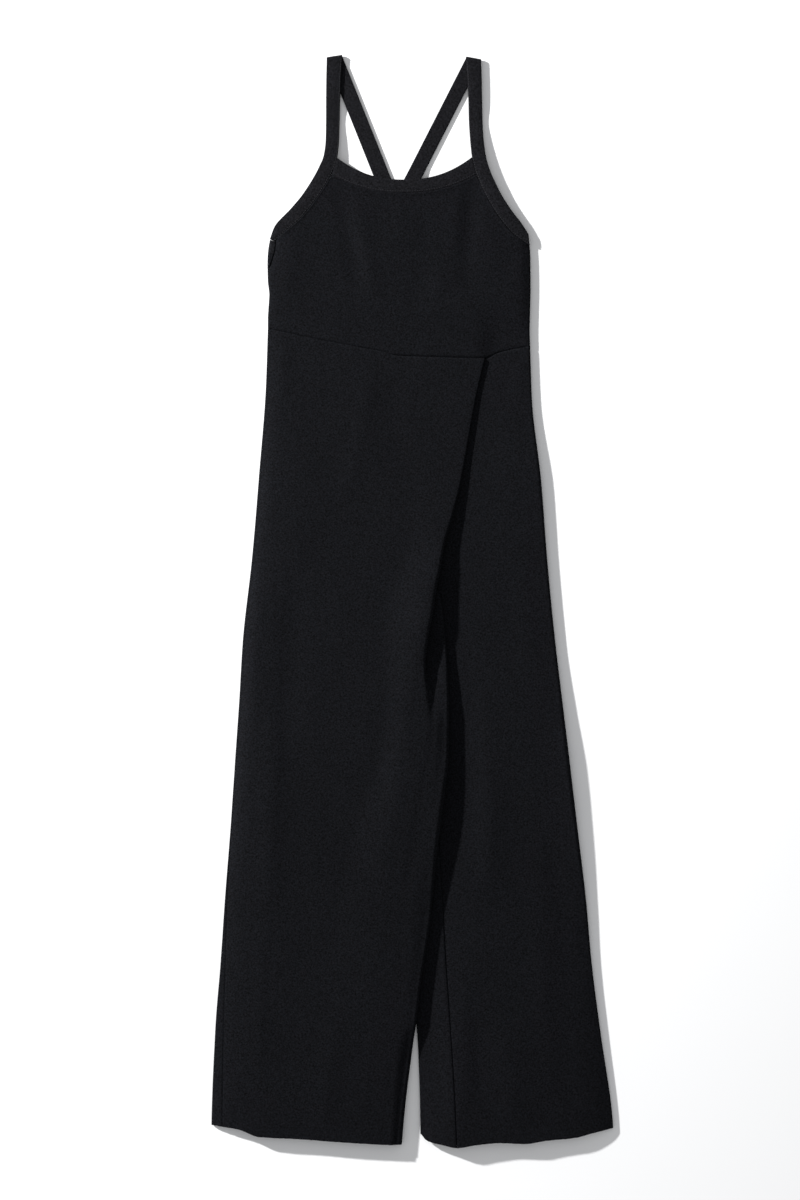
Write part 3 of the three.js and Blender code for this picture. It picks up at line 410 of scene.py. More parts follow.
def numbered(band):
    """The columns of a band as curves of how many rows up it they are."""
    return columns([dict(row, at=i) for i, row in enumerate(band)], "at")


left_band = numbered(LEFT_BAND)
right_band = numbered(RIGHT_BAND)
NECK_MIDDLE = -11.5
NECK_LOW = 580.3


def neck_edge(x):
    return NECK_LOW + 30 * abs((x - NECK_MIDDLE) / 92) ** 2.3


def neck_seam(x):
    return NECK_LOW - BAND_WIDTH + 24.5 * abs((x - NECK_MIDDLE) / 99.5) ** 2.3


print("strap width", round(LEFT_BAND[8]["inner_x"] - LEFT_BAND[8]["outer_x"], 1), "mm")

# %% [markdown]
# Flat cloth is never quite flat. Long soft folds run down it from wherever it was gathered or
# held, and small ones gather at a seam. Each is listed as a row in a table, with its
# two ends, its width, and how far it rises above the cloth or sinks into it. A slow ripple
# keeps the stretches between the folds from looking like sheet metal.

# %% The soft folds
BODICE_FOLDS = rows(
    "from_x from_y to_x to_y half rise bow",
    (-104, 588, -74, 400, 15, -1.3, 5),
    (-90, 570, -50, 404, 12, 1.1, 4),
    (83, 588, 75, 404, 13, -1.2, -3),
    (66, 578, 56, 470, 12, 0.9, 0),
    (-18, 560, -14, 480, 16, 0.7, 0),
    (17, 552, 12, 372, 12, -0.5, 0),
    (-5, 452, 6, 396, 20, -0.7, 0),
    (-168, 516, -176, 420, 13, 0.8, 4),
    (-189, 470, -186, 392, 6, -0.5, 0),
    (142, 500, 128, 430, 14, -0.7, -4),
    (60, 440, 92, 360, 14, 0.5, 0),
    (-128, 430, -112, 366, 12, 0.5, 0),
    (40, 462, 34, 420, 8, 0.4, 0),
)
LEG_FOLDS = rows(
    "from_x from_y to_x to_y half rise bow",
    (-160, 60, -176, -250, 22, -1.4, 0),
    (-188, -120, -202, -480, 17, 1.5, 0),
    (-96, -540, -126, -750, 16, 1.6, 0),
    (-150, 230, -158, 40, 24, 0.9, 0),
    (92, -90, 108, -420, 17, 2.2, 0),
    (150, 150, 168, -150, 20, 1.0, 0),
    (131, -560, 138, -740, 20, 1.2, 0),
    (-60, 330, -96, 120, 14, 0.6, 5),
    (-24, 334, -40, 262, 6, 0.8, 0),
    (46, -300, 62, -790, 26, 2.2, 0),
    (-14, 334, -2, 284, 5, -0.6, 0),
    (34, 330, 22, 250, 9, 0.5, 0),
    (128, 338, 118, 250, 8, -0.7, 3),
    (146, 340, 152, 266, 7, 0.6, 0),
    (-176, 350, -182, 250, 9, 0.6, 0),
    (-206, -420, -214, -700, 10, 0.7, 0),
    (196, -300, 222, -600, 14, -0.9, 0),
    (-60, -420, -72, -640, 14, -0.8, 0),
    (84, -520, 96, -720, 12, -0.8, 0),
    (-214, 40, -224, -220, 10, 0.7, 0),
    (170, -420, 196, -690, 12, 0.8, 0),
)


def folds_at(folds, x, y):
    """How far a list of folds lifts the cloth at one place."""
    lift = 0
    for fold in folds:
        along = (fold["from_y"] - y) / (fold["from_y"] - fold["to_y"])
        if not 0 < along < 1:
            continue
        middle = mix(fold["from_x"], fold["to_x"], along) + fold["bow"] * math.sin(math.pi * along)
        across = (x - middle) / fold["half"]
        if abs(across) < 3:
            fade = smooth(min(along, 1 - along) / 0.3)
            lift += fold["rise"] * fade * math.exp(-across * across)
    return lift


def ripple(x, y, seed, height):
    """A slow unevenness, longer down the garment than across it."""
    broad = noise.noise(Vector((x / 62, y / 150, seed)))
    narrow = noise.noise(Vector((x / 21, y / 46, seed + 7.3)))
    return height * (broad + 0.3 * narrow)


SEAM_DEPTH = 1.1
SEAM_HALF = 1.3


def seam_dip(distance):
    """How far cloth sinks towards a seam, a given distance away."""
    return -SEAM_DEPTH * math.exp(-((distance / SEAM_HALF) ** 2))


def seam_lip(distance):
    """The low ridge of a turned edge just inside a banded seam."""
    ridge = 0.4 * math.exp(-(((distance - 1.8) / 1.5) ** 2))
    return ridge - 0.25 * math.exp(-((distance / 0.6) ** 2))


print(len(BODICE_FOLDS), "folds in the bodice and", len(LEG_FOLDS), "in the legs")

# %% [markdown]
# A piece of cloth starts as a grid primitive. Its rows and columns are laid along the piece in
# code, because a panel with a rounded side fold and a pleat is easier to state as a set of
# sections than to pull into shape by hand. A second grid, of lengths measured along the
# cloth, becomes the UV map, so the knit follows every turn. Solidify then gives the wall and
# Bevel takes the sharpness off its edges.

# %% Lay a grid out as cloth

def select_only(piece):
    bpy.ops.object.select_all(action="DESELECT")
    piece.select_set(True)
    bpy.context.view_layer.objects.active = piece


def apply_modifier(piece, kind, **settings):
    """Adds one modifier, sets it up and applies it."""
    select_only(piece)
    bpy.ops.object.modifier_add(type=kind)
    modifier = piece.modifiers[-1]
    for name, value in settings.items():
        setattr(modifier, name, value)
    bpy.ops.object.modifier_apply(modifier=modifier.name)


def cloth_piece(name, grid, cloth_grid, wall, edge):
    """Lays a grid primitive on rows of points and gives it a wall. Sizes are millimetres."""
    last_row = len(grid) - 1
    last_column = len(grid[0]) - 1
    bpy.ops.object.select_all(action="DESELECT")
    bpy.ops.mesh.primitive_grid_add(
        x_subdivisions=last_column, y_subdivisions=last_row, size=1, calc_uvs=True
    )
    piece = bpy.context.object
    piece.name = name
    mesh = piece.data
    place = []
    for vertex in mesh.vertices:
        row = round((0.5 - vertex.co.y) * last_row)
        column = round((vertex.co.x + 0.5) * last_column)
        place.append((row, column))
    for vertex, (row, column) in zip(mesh.vertices, place):
        vertex.co = Vector(grid[row][column]) * MM
    uv = mesh.uv_layers.active.data
    for loop in mesh.loops:
        row, column = place[loop.vertex_index]
        across, down = cloth_grid[row][column]
        uv[loop.index].uv = (across * MM, down * MM)
    area = sum(face.area for face in mesh.polygons)
    apply_modifier(piece, "SOLIDIFY", thickness=wall * MM, offset=0, use_even_offset=False)
    if edge:
        apply_modifier(
            piece,
            "BEVEL",
            width=edge * MM,
            segments=2,
            limit_method="ANGLE",
            angle_limit=math.radians(60),
        )
    select_only(piece)
    bpy.ops.object.shade_smooth_by_angle(angle=math.radians(50))
    print(name, len(mesh.vertices), "points,", round(area, 4), "square metres")
    return piece


def cloth_lengths(grid, reference):
    """Lengths across the cloth of each row, equal to x at the reference column."""
    measured = []
    for row in grid:
        lengths = [0.0]
        for before, after in zip(row, row[1:]):
            lengths.append(lengths[-1] + math.hypot(after[0] - before[0], after[2] - before[2]))
        shift = row[reference][0] - lengths[reference]
        measured.append([(length + shift, point[1]) for length, point in zip(lengths, row)])
    return measured


def panel(name, grid, reference, wall=CLOTH, edge=0):
    """A piece of cloth whose map is measured along its own rows."""
    return cloth_piece(name, grid, cloth_lengths(grid, reference), wall, edge)


# %% [markdown]
# A leg is a wide tube pressed flat. Cut across at one height it is a long loop: the back layer
# on the table, a rounded fold at each side, and the front layer above. Each of its two panels
# is half of that loop. The functions below walk along the loop and give the points of one
# panel. The left front carries the pleat, so its walk turns back under itself and out again.

# %% One height of the legs
SIDE_EASE = 5
CLOSE = (2.6, 1.6, 0.9, 0.4, 0)  # steps of cloth up to a seam
COVER_EASE = 80
RAMP = 14
RAMP_END = 6


def section(y):
    """All that the tables say about one height."""
    return SimpleNamespace(
        y=y, leg=legs(y), pleat=pleat(y), inner=left_inner(y), under=right_inner(y)
    )


def round_fold(edge_x, inward, height, bottom, length, top_at):
    """A point on a rounded side fold and on past it, by the length of cloth to it."""
    radius = height / 2
    quarter = math.pi / 2 * radius
    middle = edge_x + inward * CLOTH / 2
    if length >= quarter:
        x = middle + inward * (radius + length - quarter)
        return [x, top_at(x)]
    if length > -quarter:
        angle = length / radius
        x = middle + inward * radius * (1 - math.cos(angle))
        return [x, bottom + radius + radius * math.sin(angle)]
    return [middle + inward * (radius - quarter - length), bottom]


def quarter_of(height):
    return math.pi / 4 * height


print("cloth in the left side fold", round(2 * quarter_of(legs(WAIST).left_fold), 2), "mm")

# %% How high each layer lies
def swell(side, flat, past, ease):
    """Height of cloth as it rises from a side fold to its full height, soonest at the fold."""
    return flat + (side - flat) * math.exp(-max(past, 0) / ease)


def left_top(x, s):
    """Height of the left front between the side fold and the pleat."""
    past = x - (s.leg.left + CLOTH / 2 + s.leg.left_fold / 2)
    side = LYING + s.leg.left_fold
    flat = s.leg.left_front + folds_at(LEG_FOLDS, x, s.y) + ripple(x, s.y, 2.1, 0.55)
    front = swell(side, flat, past, s.leg.left_ease)
    climb = (x - s.pleat.climb_from) / (s.pleat.climb_to - s.pleat.climb_from)
    crest = s.pleat.top + ripple(x, s.y, 5.4, 0.3)
    return mix(front, crest, smooth(climb))


def right_top(x, s):
    """Height of the right front, low where the pleat and the left leg lie on it."""
    cover = s.pleat.fold if s.y > CROTCH else s.inner.edge
    free = smooth((x - cover - 4) / COVER_EASE)
    flat = s.leg.right_front + folds_at(LEG_FOLDS, x, s.y) + ripple(x, s.y, 9.2, 0.55)
    front = mix(s.under.low, flat, free)
    past = s.leg.right - CLOTH / 2 - s.leg.right_fold / 2 - x
    return swell(LYING + s.leg.right_fold, front, past, s.leg.right_ease)


def left_bottom(x, s):
    """Height of the left leg's back layer, which climbs over the right leg's inner edge."""
    ramp = smooth((x - (s.under.edge - RAMP_END - RAMP)) / RAMP)
    return LYING + s.inner.lift * ramp


# How far below the crotch each change starts and ends.
SPREAD = (13, 30)  # the left leg's two layers turn into a fold
LIFTED = (0, 12)  # they rise onto the right leg
SHIFTED = (0, 8)  # the right back's edge moves to the inseam
TURNED = (8, 28)  # it turns under as the leg's inner fold


def parted(y, start, end):
    return smooth((CROTCH - start - y) / (end - start))


def lengths_over_fold(start, quarter, reach, count, round_steps):
    over = max(quarter, start + 2)
    near = [mix(start, over, t) for t in steps(round_steps)]
    return near + [mix(over, reach, mix(t * t, t, 0.86)) for t in steps(count)[1:]]


crotch_section = section(CROTCH)
print("the left front lies", round(left_top(0, crotch_section), 1), "mm up at the crotch")

# %% The walk across the left front
TOP_STEPS = 74
QUARTER_STEPS = 5
TURN_STEPS = 9
DEPTH_STEPS = 10
RUN_STEPS = 16
ROUND_STEPS = 8


def left_front_across(s):
    leg, fold, inner = s.leg, s.pleat, s.inner
    quarter = quarter_of(leg.left_fold)
    crest_x = fold.fold - CLOTH / 2 - fold.outer / math.pi
    reach = crest_x - (leg.left + CLOTH / 2 + leg.left_fold / 2) + quarter
    start = leg.seam_turn + NEAR_SEAM
    lengths = lengths_over_fold(start, quarter, reach, TOP_STEPS, QUARTER_STEPS)
    points = [
        round_fold(leg.left, 1, leg.left_fold, LYING, length, lambda x: left_top(x, s))
        for length in lengths
    ]
    # The two turns of the pleat, followed step by step along the cloth.
    angle = math.radians(fold.turn)
    x, z = points[-1]
    heading = 0
    for length, turned, count in (
        (fold.outer, -angle, TURN_STEPS),
        (fold.depth, 0, DEPTH_STEPS),
        (fold.inner, angle, TURN_STEPS),
    ):
        for _ in range(count):
            heading += turned / count / 2
            x += length / count * math.cos(heading)
            z += length / count * math.sin(heading)
            heading += turned / count / 2
            points.append([x, z])
    # Above the crotch the cloth runs on to the centre seam, below it to the inner edge.
    seam_x = s.under.seam - NEAR_SEAM
    seam_z = right_top(seam_x, s)
    round_x = inner.edge - CLOTH / 2 - inner.fold / 2
    bottom = LYING + inner.lift
    top = bottom + inner.fold
    spread, lifted = parted(s.y, *SPREAD), parted(s.y, *LIFTED)
    total = RUN_STEPS + ROUND_STEPS
    for i in range(1, total + 1):
        share = i / total
        above_x = mix(x, seam_x, share)
        above_z = mix(z, seam_z, smooth(share))
        run = min(i / RUN_STEPS, 1)
        below = [mix(x, round_x, run), mix(z, top, smooth(run**inner.late))]
        if i > RUN_STEPS:
            left = (total - i) / ROUND_STEPS * quarter_of(inner.fold) + NEAR_SEAM
            below = round_fold(inner.edge, -1, inner.fold, bottom, left, lambda _: top)
            below[1] = mix(top, below[1], spread)
        points.append([mix(above_x, below[0], spread), mix(above_z, below[1], lifted)])
    return points


print("left front:", len(left_front_across(crotch_section)), "points across")

# %% The walk across the left back
SIDE_STEPS = 8
BACK_STEPS = 26
RAMP_STEPS = 12


def left_back_across(s):
    leg, inner = s.leg, s.inner
    quarter = quarter_of(leg.left_fold)
    start = leg.seam_turn - NEAR_SEAM
    lengths = [start - down for down in reversed(CLOSE)]
    lengths += [mix(lengths[-1], -quarter, t) for t in steps(SIDE_STEPS)[1:]]
    points = [
        round_fold(leg.left, 1, leg.left_fold, LYING, length, lambda x: left_top(x, s))
        for length in lengths
    ]
    from_x = points[-1][0]
    seam_x = s.under.seam - NEAR_SEAM
    round_x = inner.edge - CLOTH / 2 - inner.fold / 2
    ramp_x = min(s.under.edge - RAMP_END - RAMP, round_x - 10)
    bottom = LYING + inner.lift
    spread, lifted = parted(s.y, *SPREAD), parted(s.y, *LIFTED)
    flat_to = mix(seam_x - 24, ramp_x, spread)
    points += [[mix(from_x, flat_to, t), LYING] for t in steps(BACK_STEPS)[1:]]
    total = RAMP_STEPS + ROUND_STEPS
    for i in range(1, total + 1):
        above_x = mix(flat_to, seam_x, i / total)
        x = mix(ramp_x, round_x, min(i / RAMP_STEPS, 1))
        below = [x, left_bottom(x, s)]
        if i > RAMP_STEPS:
            share = (total - i) / ROUND_STEPS
            sunk = (left_bottom(round_x, s) - bottom) * share
            left = share * quarter_of(inner.fold) + NEAR_SEAM
            below = round_fold(inner.edge, -1, inner.fold, bottom, -left, lambda _: 0)
            below[1] = mix(bottom, below[1], spread) + sunk
        points.append([mix(above_x, below[0], spread), mix(LYING, below[1], lifted)])
    return points


print("left back:", len(left_back_across(crotch_section)), "points across")

# %% The walk across the right front
def right_front_across(s):
    leg = s.leg
    seam_x = s.under.seam + NEAR_SEAM
    quarter = quarter_of(leg.right_fold)
    reach = leg.right - CLOTH / 2 - leg.right_fold / 2 - seam_x + quarter
    lengths = lengths_over_fold(NEAR_SEAM, quarter, reach - CLOSE[0], TOP_STEPS, QUARTER_STEPS)
    lengths += [reach - down for down in CLOSE[1:]]
    return [
        round_fold(leg.right, -1, leg.right_fold, LYING, length, lambda x: right_top(x, s))
        for length in reversed(lengths)
    ]


print("right front:", len(right_front_across(crotch_section)), "points across")

# %% The walk across the right back
INSEAM_GAP = 0.12


def right_back_across(s):
    leg, inner = s.leg, s.under
    quarter = quarter_of(leg.right_fold)
    points = [
        round_fold(leg.right, -1, leg.right_fold, LYING, length, lambda _: 0)
        for length in [mix(-NEAR_SEAM, -quarter, t) for t in steps(QUARTER_STEPS)]
    ]
    from_x = points[-1][0]
    side = mix(NEAR_SEAM, -INSEAM_GAP, parted(s.y, *SHIFTED))
    turned = parted(s.y, *TURNED)
    round_x = inner.edge + CLOTH / 2 + inner.fold / 2
    flat_to = mix(inner.seam + 12, round_x, turned)
    points += [[mix(from_x, flat_to, t), LYING] for t in steps(BACK_STEPS)[1:]]
    inner_quarter = quarter_of(inner.fold)
    turn = 2 * ROUND_STEPS
    end = inner_quarter + inner.seam - INSEAM_GAP - round_x
    edge_z = LYING + inner.fold
    inward = [mix(-inner_quarter, inner_quarter, t) for t in steps(turn)[1:]]
    inward += [mix(inner_quarter, end - CLOSE[0], t) for t in steps(10)[1:]]
    inward += [end - down for down in CLOSE[1:]]
    for i, length in enumerate(inward, 1):
        above = [mix(flat_to, inner.seam + side, i / len(inward)), LYING]
        below = round_fold(
            inner.edge,
            1,
            inner.fold,
            LYING,
            length,
            lambda x: mix(edge_z, right_top(x, s), smooth((x - round_x) / 12)),
        )
        points.append([mix(above[0], below[0], turned), mix(above[1], below[1], turned)])
    return points


print("right back:", len(right_back_across(crotch_section)), "points across")

# %% [markdown]
# The rows of a leg are closest together at the waist, where the cloth sinks into the seam, and
# at the crotch, where four panels part within a few centimetres. The waist seam curves and the
# hem waves, and both shifts fade out along the leg.

# %% The rows of a leg panel
WAIST_FADE = 260
HEM_FADE = 300
HEM_WAVER = 0.35
FORK_END = 4
FRONT_SPACING = 5.6  # between two rows of a front panel
BACK_SPACING = 9
GATHER_START = -36  # where the waist seam starts to sink deeper, over the pleat
GATHER_RUN = 8


def leg_heights(spacing):
    near = [WAIST - down for down in (0, 0.4, 0.9, 1.6, 2.6, 4, 6)]
    body = round((WAIST - 6 - CROTCH) / spacing)
    rest = round((FORK_END - HEM - 2) / spacing)
    return [
        *near,
        *[mix(WAIST - 6, CROTCH, t) for t in steps(body)[1:]],
        *[mix(CROTCH, FORK_END, t) for t in steps(18)[1:]],
        *[mix(FORK_END, HEM + 2, t) for t in steps(rest)[1:]],
        HEM + 0.8,
        HEM,
    ]


def end_distances(points):
    """How far each point of a section is, along the cloth, from the nearer of its two seams."""
    lengths = [0.0]
    for a, b in zip(points, points[1:]):
        lengths.append(lengths[-1] + math.hypot(b[0] - a[0], b[1] - a[1]))
    return [min(length, lengths[-1] - length) for length in lengths]


def leg_grid(across, waist, spacing, side_sink, gathered=0):
    """A panel as rows of points, sunk at its seams, more at the waist where it is gathered."""
    grid = []
    for y in leg_heights(spacing):
        row = []
        points = across(section(y))
        ends = end_distances(points)
        for (x, z), near_end in zip(points, ends):
            top = (waist(x) - NEAR_SEAM - WAIST) * (1 - smooth((WAIST - y) / WAIST_FADE))
            waver = HEM_WAVER * noise.noise(Vector((x / 3.1, 0.4, 1.7)))
            end = (hem_line(x) + waver - HEM) * (1 - smooth((y - HEM) / HEM_FADE))
            dip = seam_dip(WAIST - y) * (1 + gathered * smooth((x - GATHER_START) / GATHER_RUN))
            sunk = min(dip, side_sink * seam_dip(near_end)) if z > 3 else 0
            row.append((x, y + top + end, z + sunk))
        grid.append(row)
    return grid


print("rows down a front panel", len(leg_heights(FRONT_SPACING)))

# %% Make the four leg panels
left_front_grid = leg_grid(left_front_across, waist_seam, FRONT_SPACING, 0.2, gathered=0.9)
left_leg_front = panel("left_leg_front_cloth", left_front_grid, TOP_STEPS // 2)
right_front_grid = leg_grid(right_front_across, waist_seam, FRONT_SPACING, 0.05)
right_leg_front = panel("right_leg_front_cloth", right_front_grid, TOP_STEPS // 2)
left_back_grid = leg_grid(left_back_across, back_waist, BACK_SPACING, 0.7)
left_leg_back = panel("left_leg_back_cloth", left_back_grid, SIDE_STEPS + 10)
right_back_grid = leg_grid(right_back_across, back_waist, BACK_SPACING, 1.1)
right_back_grid = [row[::-1] for row in right_back_grid]
right_leg_back = panel("right_leg_back_cloth", right_back_grid, ROUND_STEPS + 10)

# %% [markdown]
# The front bodice is one panel between the waist seam, the two armhole bands and the neck
# band. Its lower edge follows the legs, up over the pleat and down off its fold, and its top
# edge follows the bands. The rows between are drawn straight from one to the other, and
# the folds are added where they fall.

# %% The edges of the front bodice
BODICE_FOLD = 4.4
BODICE_FRONT = 7.2
ARMHOLE_SHARE = 0.2
LAST_ARMHOLE = 4.96  # where the neck band meets an armhole band, in rows up the band
NECK_GAP = 0.6
PIECE_GAP = 0.2
waist_section = section(WAIST)
waist_crest = waist_section.pleat.fold


def corner_at(band, x):
    """How far along a band its inner edge passes x, near the underarm."""
    low, high = 0.0, 1.0
    for _ in range(24):
        middle = (low + high) / 2
        outside = abs(band(middle).inner_x - NECK_MIDDLE) > abs(x - NECK_MIDDLE)
        low, high = (middle, high) if outside else (low, middle)
    return (low + high) / 2


def bodice_top(share, left_x, right_x):
    """A point of the front bodice's top edge, between the two side folds."""
    left_end, right_end = left_band(LAST_ARMHOLE), right_band(LAST_ARMHOLE)
    for band, side_x, inward in ((left_band, left_x, share), (right_band, right_x, 1 - share)):
        if inward < ARMHOLE_SHARE:
            edge = band(mix(corner_at(band, side_x), LAST_ARMHOLE, inward / ARMHOLE_SHARE))
            return edge.inner_x, edge.inner_y - PIECE_GAP
    along = (share - ARMHOLE_SHARE) / (1 - 2 * ARMHOLE_SHARE)
    x = mix(left_end.inner_x + NECK_GAP, right_end.inner_x - NECK_GAP, along)
    return x, neck_seam(x) - PIECE_GAP


def waist_height(x):
    """Height of the layer at the waist that the bodice is sewn to, eased over the pleat."""
    past = smooth((x - waist_crest + 14) / 30)
    return mix(left_top(x, waist_section), right_top(x, waist_section), past)


print("the pleat's fold meets the waist at", waist_crest, "mm")

# %% Make the front bodice
def bodice_rows():
    near = [0, 0.002, 0.0045, 0.008, 0.013, 0.02]
    return near + [mix(0.02, 0.98, t) for t in steps(44)[1:]] + [0.985, 0.99, 0.994, 0.997, 1]


def front_bodice_grid():
    shares = steps(84)
    fold_steps = [i / QUARTER_STEPS for i in range(QUARTER_STEPS)]
    places = [(t, 0, 1) for t in fold_steps]
    places += [(None, share, 0) for share in shares]
    places += [(t, 1, -1) for t in reversed(fold_steps)]
    grid = []
    for v in reversed(bodice_rows()):
        row = []
        for fold_share, share, side_sign in places:
            nominal_y = mix(WAIST, 500, v)
            side = bodice_sides(nominal_y)
            settle = smooth(v * 2.4)
            fold_left = mix(waist_section.leg.left_fold, BODICE_FOLD, settle)
            fold_right = mix(waist_section.leg.right_fold, BODICE_FOLD, settle)
            left = side.front_left + CLOTH / 2
            right = side.right - CLOTH / 2
            inner_left = left + fold_left / 2
            inner_right = right - fold_right / 2
            top_x, top_y = bodice_top(share, inner_left, inner_right)
            if side_sign:
                fold = fold_left if side_sign > 0 else fold_right
                angle = math.pi / 2 * fold_share
                inset = fold / 2 * (1 - math.cos(angle))
                x = left + inset if side_sign > 0 else right - inset
                band = left_band if side_sign > 0 else right_band
                top_y = band(corner_at(band, x)).inner_y - PIECE_GAP
                z = LYING + fold / 2 * (1 + math.sin(angle)) + (0 if fold_share else NEAR_SEAM)
                row.append((x, mix(waist_seam(x) + NEAR_SEAM, top_y, v), z))
                continue
            bottom_x = mix(inner_left, inner_right, share)
            clamped = min(max(top_x, inner_left), inner_right)
            x = mix(bottom_x, clamped, v)
            y = mix(waist_seam(x) + NEAR_SEAM, top_y, v)
            near = min(x - inner_left, inner_right - x)
            flat = BODICE_FRONT + folds_at(BODICE_FOLDS, x, y) + ripple(x, y, 4.4, 0.5)
            side_z = LYING + (fold_left if share < 0.5 else fold_right)
            front = swell(side_z, flat, near, SIDE_EASE)
            dip = seam_dip(y - waist_seam(x)) + seam_lip(top_y - y)
            row.append((x, y, mix(waist_height(x), front, settle) + dip))
        grid.append(row)
    return grid


front_bodice = panel("front_bodice_cloth", front_bodice_grid(), 45)

# %% [markdown]
# Little of the back shows in this view but slivers at the sides, so it is finished plainly:
# a panel that lies on the table and turns up at the side seams, with a band along its
# straight top edge for the straps to end at. At the left underarm its edge has rolled round
# onto the front and leaves a dark slit beside it.

# %% Make the back bodice and its band
BACK_COLUMNS = 44
ROLL = rows("y length", (520, 5.5), (497, 7.5), (484, 8.8), (470, 6.4), (458, 3.0), (448, 0), (300, 0))
ROLL_STEPS = 9
ROLL_RISE = 0.9
BACK_MIDDLE = 24  # a column near the middle of the back's rows
UNDERARM_END = -192.3
UNDERARM_SLOPE = 0.5
roll_at = curve(ROLL, "y", "length")


def back_grid(middle, levels):
    grid = []
    for y_at in levels:
        y = y_at(NECK_MIDDLE)
        side = bodice_sides(y)
        radius = BODICE_FOLD / 2 + LYING - middle
        quarter = radius * math.pi / 2
        left, right = side.left + middle, side.right - middle
        turn = [math.pi / 2 * t for t in steps(QUARTER_STEPS)]
        corner = [
            (radius * (1 - math.cos(a)), middle + radius * (1 - math.sin(a)) - (0 if a else NEAR_SEAM))
            for a in turn
        ]
        across = []
        rolled = max(roll_at(y), 0)
        for share in steps(ROLL_STEPS):
            length = mix(rolled - NEAR_SEAM, -quarter, share)
            angle = min(length / radius, math.pi / 2)
            inset = radius * (1 - math.cos(angle)) + max(length - quarter, 0)
            rise = ROLL_RISE * smooth(length / quarter) * min(rolled / 4, 1)
            across.append((left + inset, middle + radius * (1 + math.sin(angle)) + rise))
        flat = steps(BACK_COLUMNS)[1:-1]
        across += [(mix(left + radius, right - radius, t), middle) for t in flat]
        across += [(right - inset, z) for inset, z in reversed(corner)]
        grid.append([(x, y_at(x), z) for x, z in across])
    return grid


def back_level(share):
    top = BACK_TOP - BAND_WIDTH - PIECE_GAP
    return lambda x: mix(top, back_waist(x) + NEAR_SEAM, share)


def back_top(x):
    """The back's top edge, which turns up to the end of the left armhole band."""
    return BACK_TOP + UNDERARM_SLOPE * max(UNDERARM_END - x, 0)


def band_level(share):
    return lambda x: mix(back_top(x), BACK_TOP - BAND_WIDTH, share)


back_bodice_grid = back_grid(LYING, [back_level(t) for t in steps(22)])
back_bodice = panel("back_bodice_cloth", back_bodice_grid, BACK_MIDDLE)
back_band_grid = back_grid(BAND / 2, [band_level(t) for t in steps(6)])
back_band = panel("back_band_cloth", back_band_grid, BACK_MIDDLE, BAND, 0.5)

# %% [markdown]
# A band is a strip of the knit folded double and sewn over a raw edge, so it is thicker than
# the panel beside it, crowned along its middle and round at its edges. The neck band runs
# between the two armhole bands. Each armhole band goes on as a strap: up to the shoulder,
# over a fold and down the back.

# %% Make the neck band
def band_crown(across):
    """How much higher a band is at a place across it than at its edges."""
    return 0.55 * (1 - (2 * across - 1) ** 2) - 0.3


def band_pucker(length, across):
    """Small pulls of the stitching along a band's sewn edge."""
    pull = 0.22 * noise.noise(Vector((length / 7.5, across * 1.2, 3.3)))
    return pull * (0.4 + 0.6 * across)


BAND_EDGE = 0.55
NECK_HEIGHT = 7.0
NECK_DROP = 0.8
NECK_COLUMNS = 90
NECK_LENGTH = 200
CORNER = 6  # the row of a band where the neckline ends
neck_low = (left_band(LAST_ARMHOLE).inner_x + NECK_GAP, right_band(LAST_ARMHOLE).inner_x - NECK_GAP)
neck_high = (LEFT_BAND[CORNER]["inner_x"] + 0.5, RIGHT_BAND[CORNER]["inner_x"] - 0.5)
neck_grid, neck_cloth = [], []
for across in reversed(steps(9)):
    row, lengths = [], []
    for share in steps(NECK_COLUMNS):
        low_x = mix(*neck_low, share)
        high_x = mix(*neck_high, share)
        drop = NECK_DROP * abs(2 * share - 1) ** 2
        z = NECK_HEIGHT - drop + band_crown(across) + band_pucker(NECK_LENGTH * share, 1 - across)
        row.append((mix(low_x, high_x, across), mix(neck_seam(low_x), neck_edge(high_x), across), z))
        lengths.append((NECK_LENGTH * share, BAND_WIDTH * across))
    neck_grid.append(row)
    neck_cloth.append(lengths)
neck_band = cloth_piece("neck_band_cloth", neck_grid, neck_cloth, BAND, BAND_EDGE)

# %% Make the straps
STRAP_COLUMNS = 9
SHOULDER_STEPS = 12
BAND_STEPS = 9
BACK_STRAP_STEPS = 56
ROW_LENGTH = 23  # about how far apart two rows of a band's table lie


def strap_grid(band_rows, band, slope, layer):
    """Rows of points up the front, over the shoulder and down the back."""
    across = steps(STRAP_COLUMNS)
    last = len(band_rows) - 1
    grid = []
    for t in steps(last * BAND_STEPS):
        edge = band(t * last)
        row = []
        for a in across:
            x, y = mix(edge.outer_x, edge.inner_x, a), mix(edge.outer_y, edge.inner_y, a)
            z = edge.height + band_crown(a) + band_pucker(t * last * ROW_LENGTH, a)
            row.append((x, y, z))
        grid.append(row)
    end = band_rows[-1]
    outer = Vector((end["outer_x"], end["outer_y"]))
    inner = Vector((end["inner_x"], end["inner_y"]))
    line = (inner - outer).normalized()
    up = Vector((-line.y, line.x))
    if up.y < 0:
        up = -up
    lying = BAND / 2
    radius = (end["height"] - lying) / 2
    for t in steps(SHOULDER_STEPS)[1:]:
        angle = math.pi * t
        out = radius * math.sin(angle)
        z = lying + radius + radius * math.cos(angle)
        points = [outer.lerp(inner, a) + up * out for a in across]
        crown = [band_crown(a) * math.cos(angle / 2) for a in across]
        grid.append([(p.x, p.y, z + c) for p, c in zip(points, crown)])
    finish = BACK_TOP + PIECE_GAP
    for t in steps(BACK_STRAP_STEPS)[1:]:
        row = []
        for a in across:
            start = outer.lerp(inner, a)
            y = mix(start.y, finish, t)
            z = getattr(strap_height(y), layer)
            row.append((start.x + slope * (start.y - y), y, z))
        grid.append(row)
    return grid


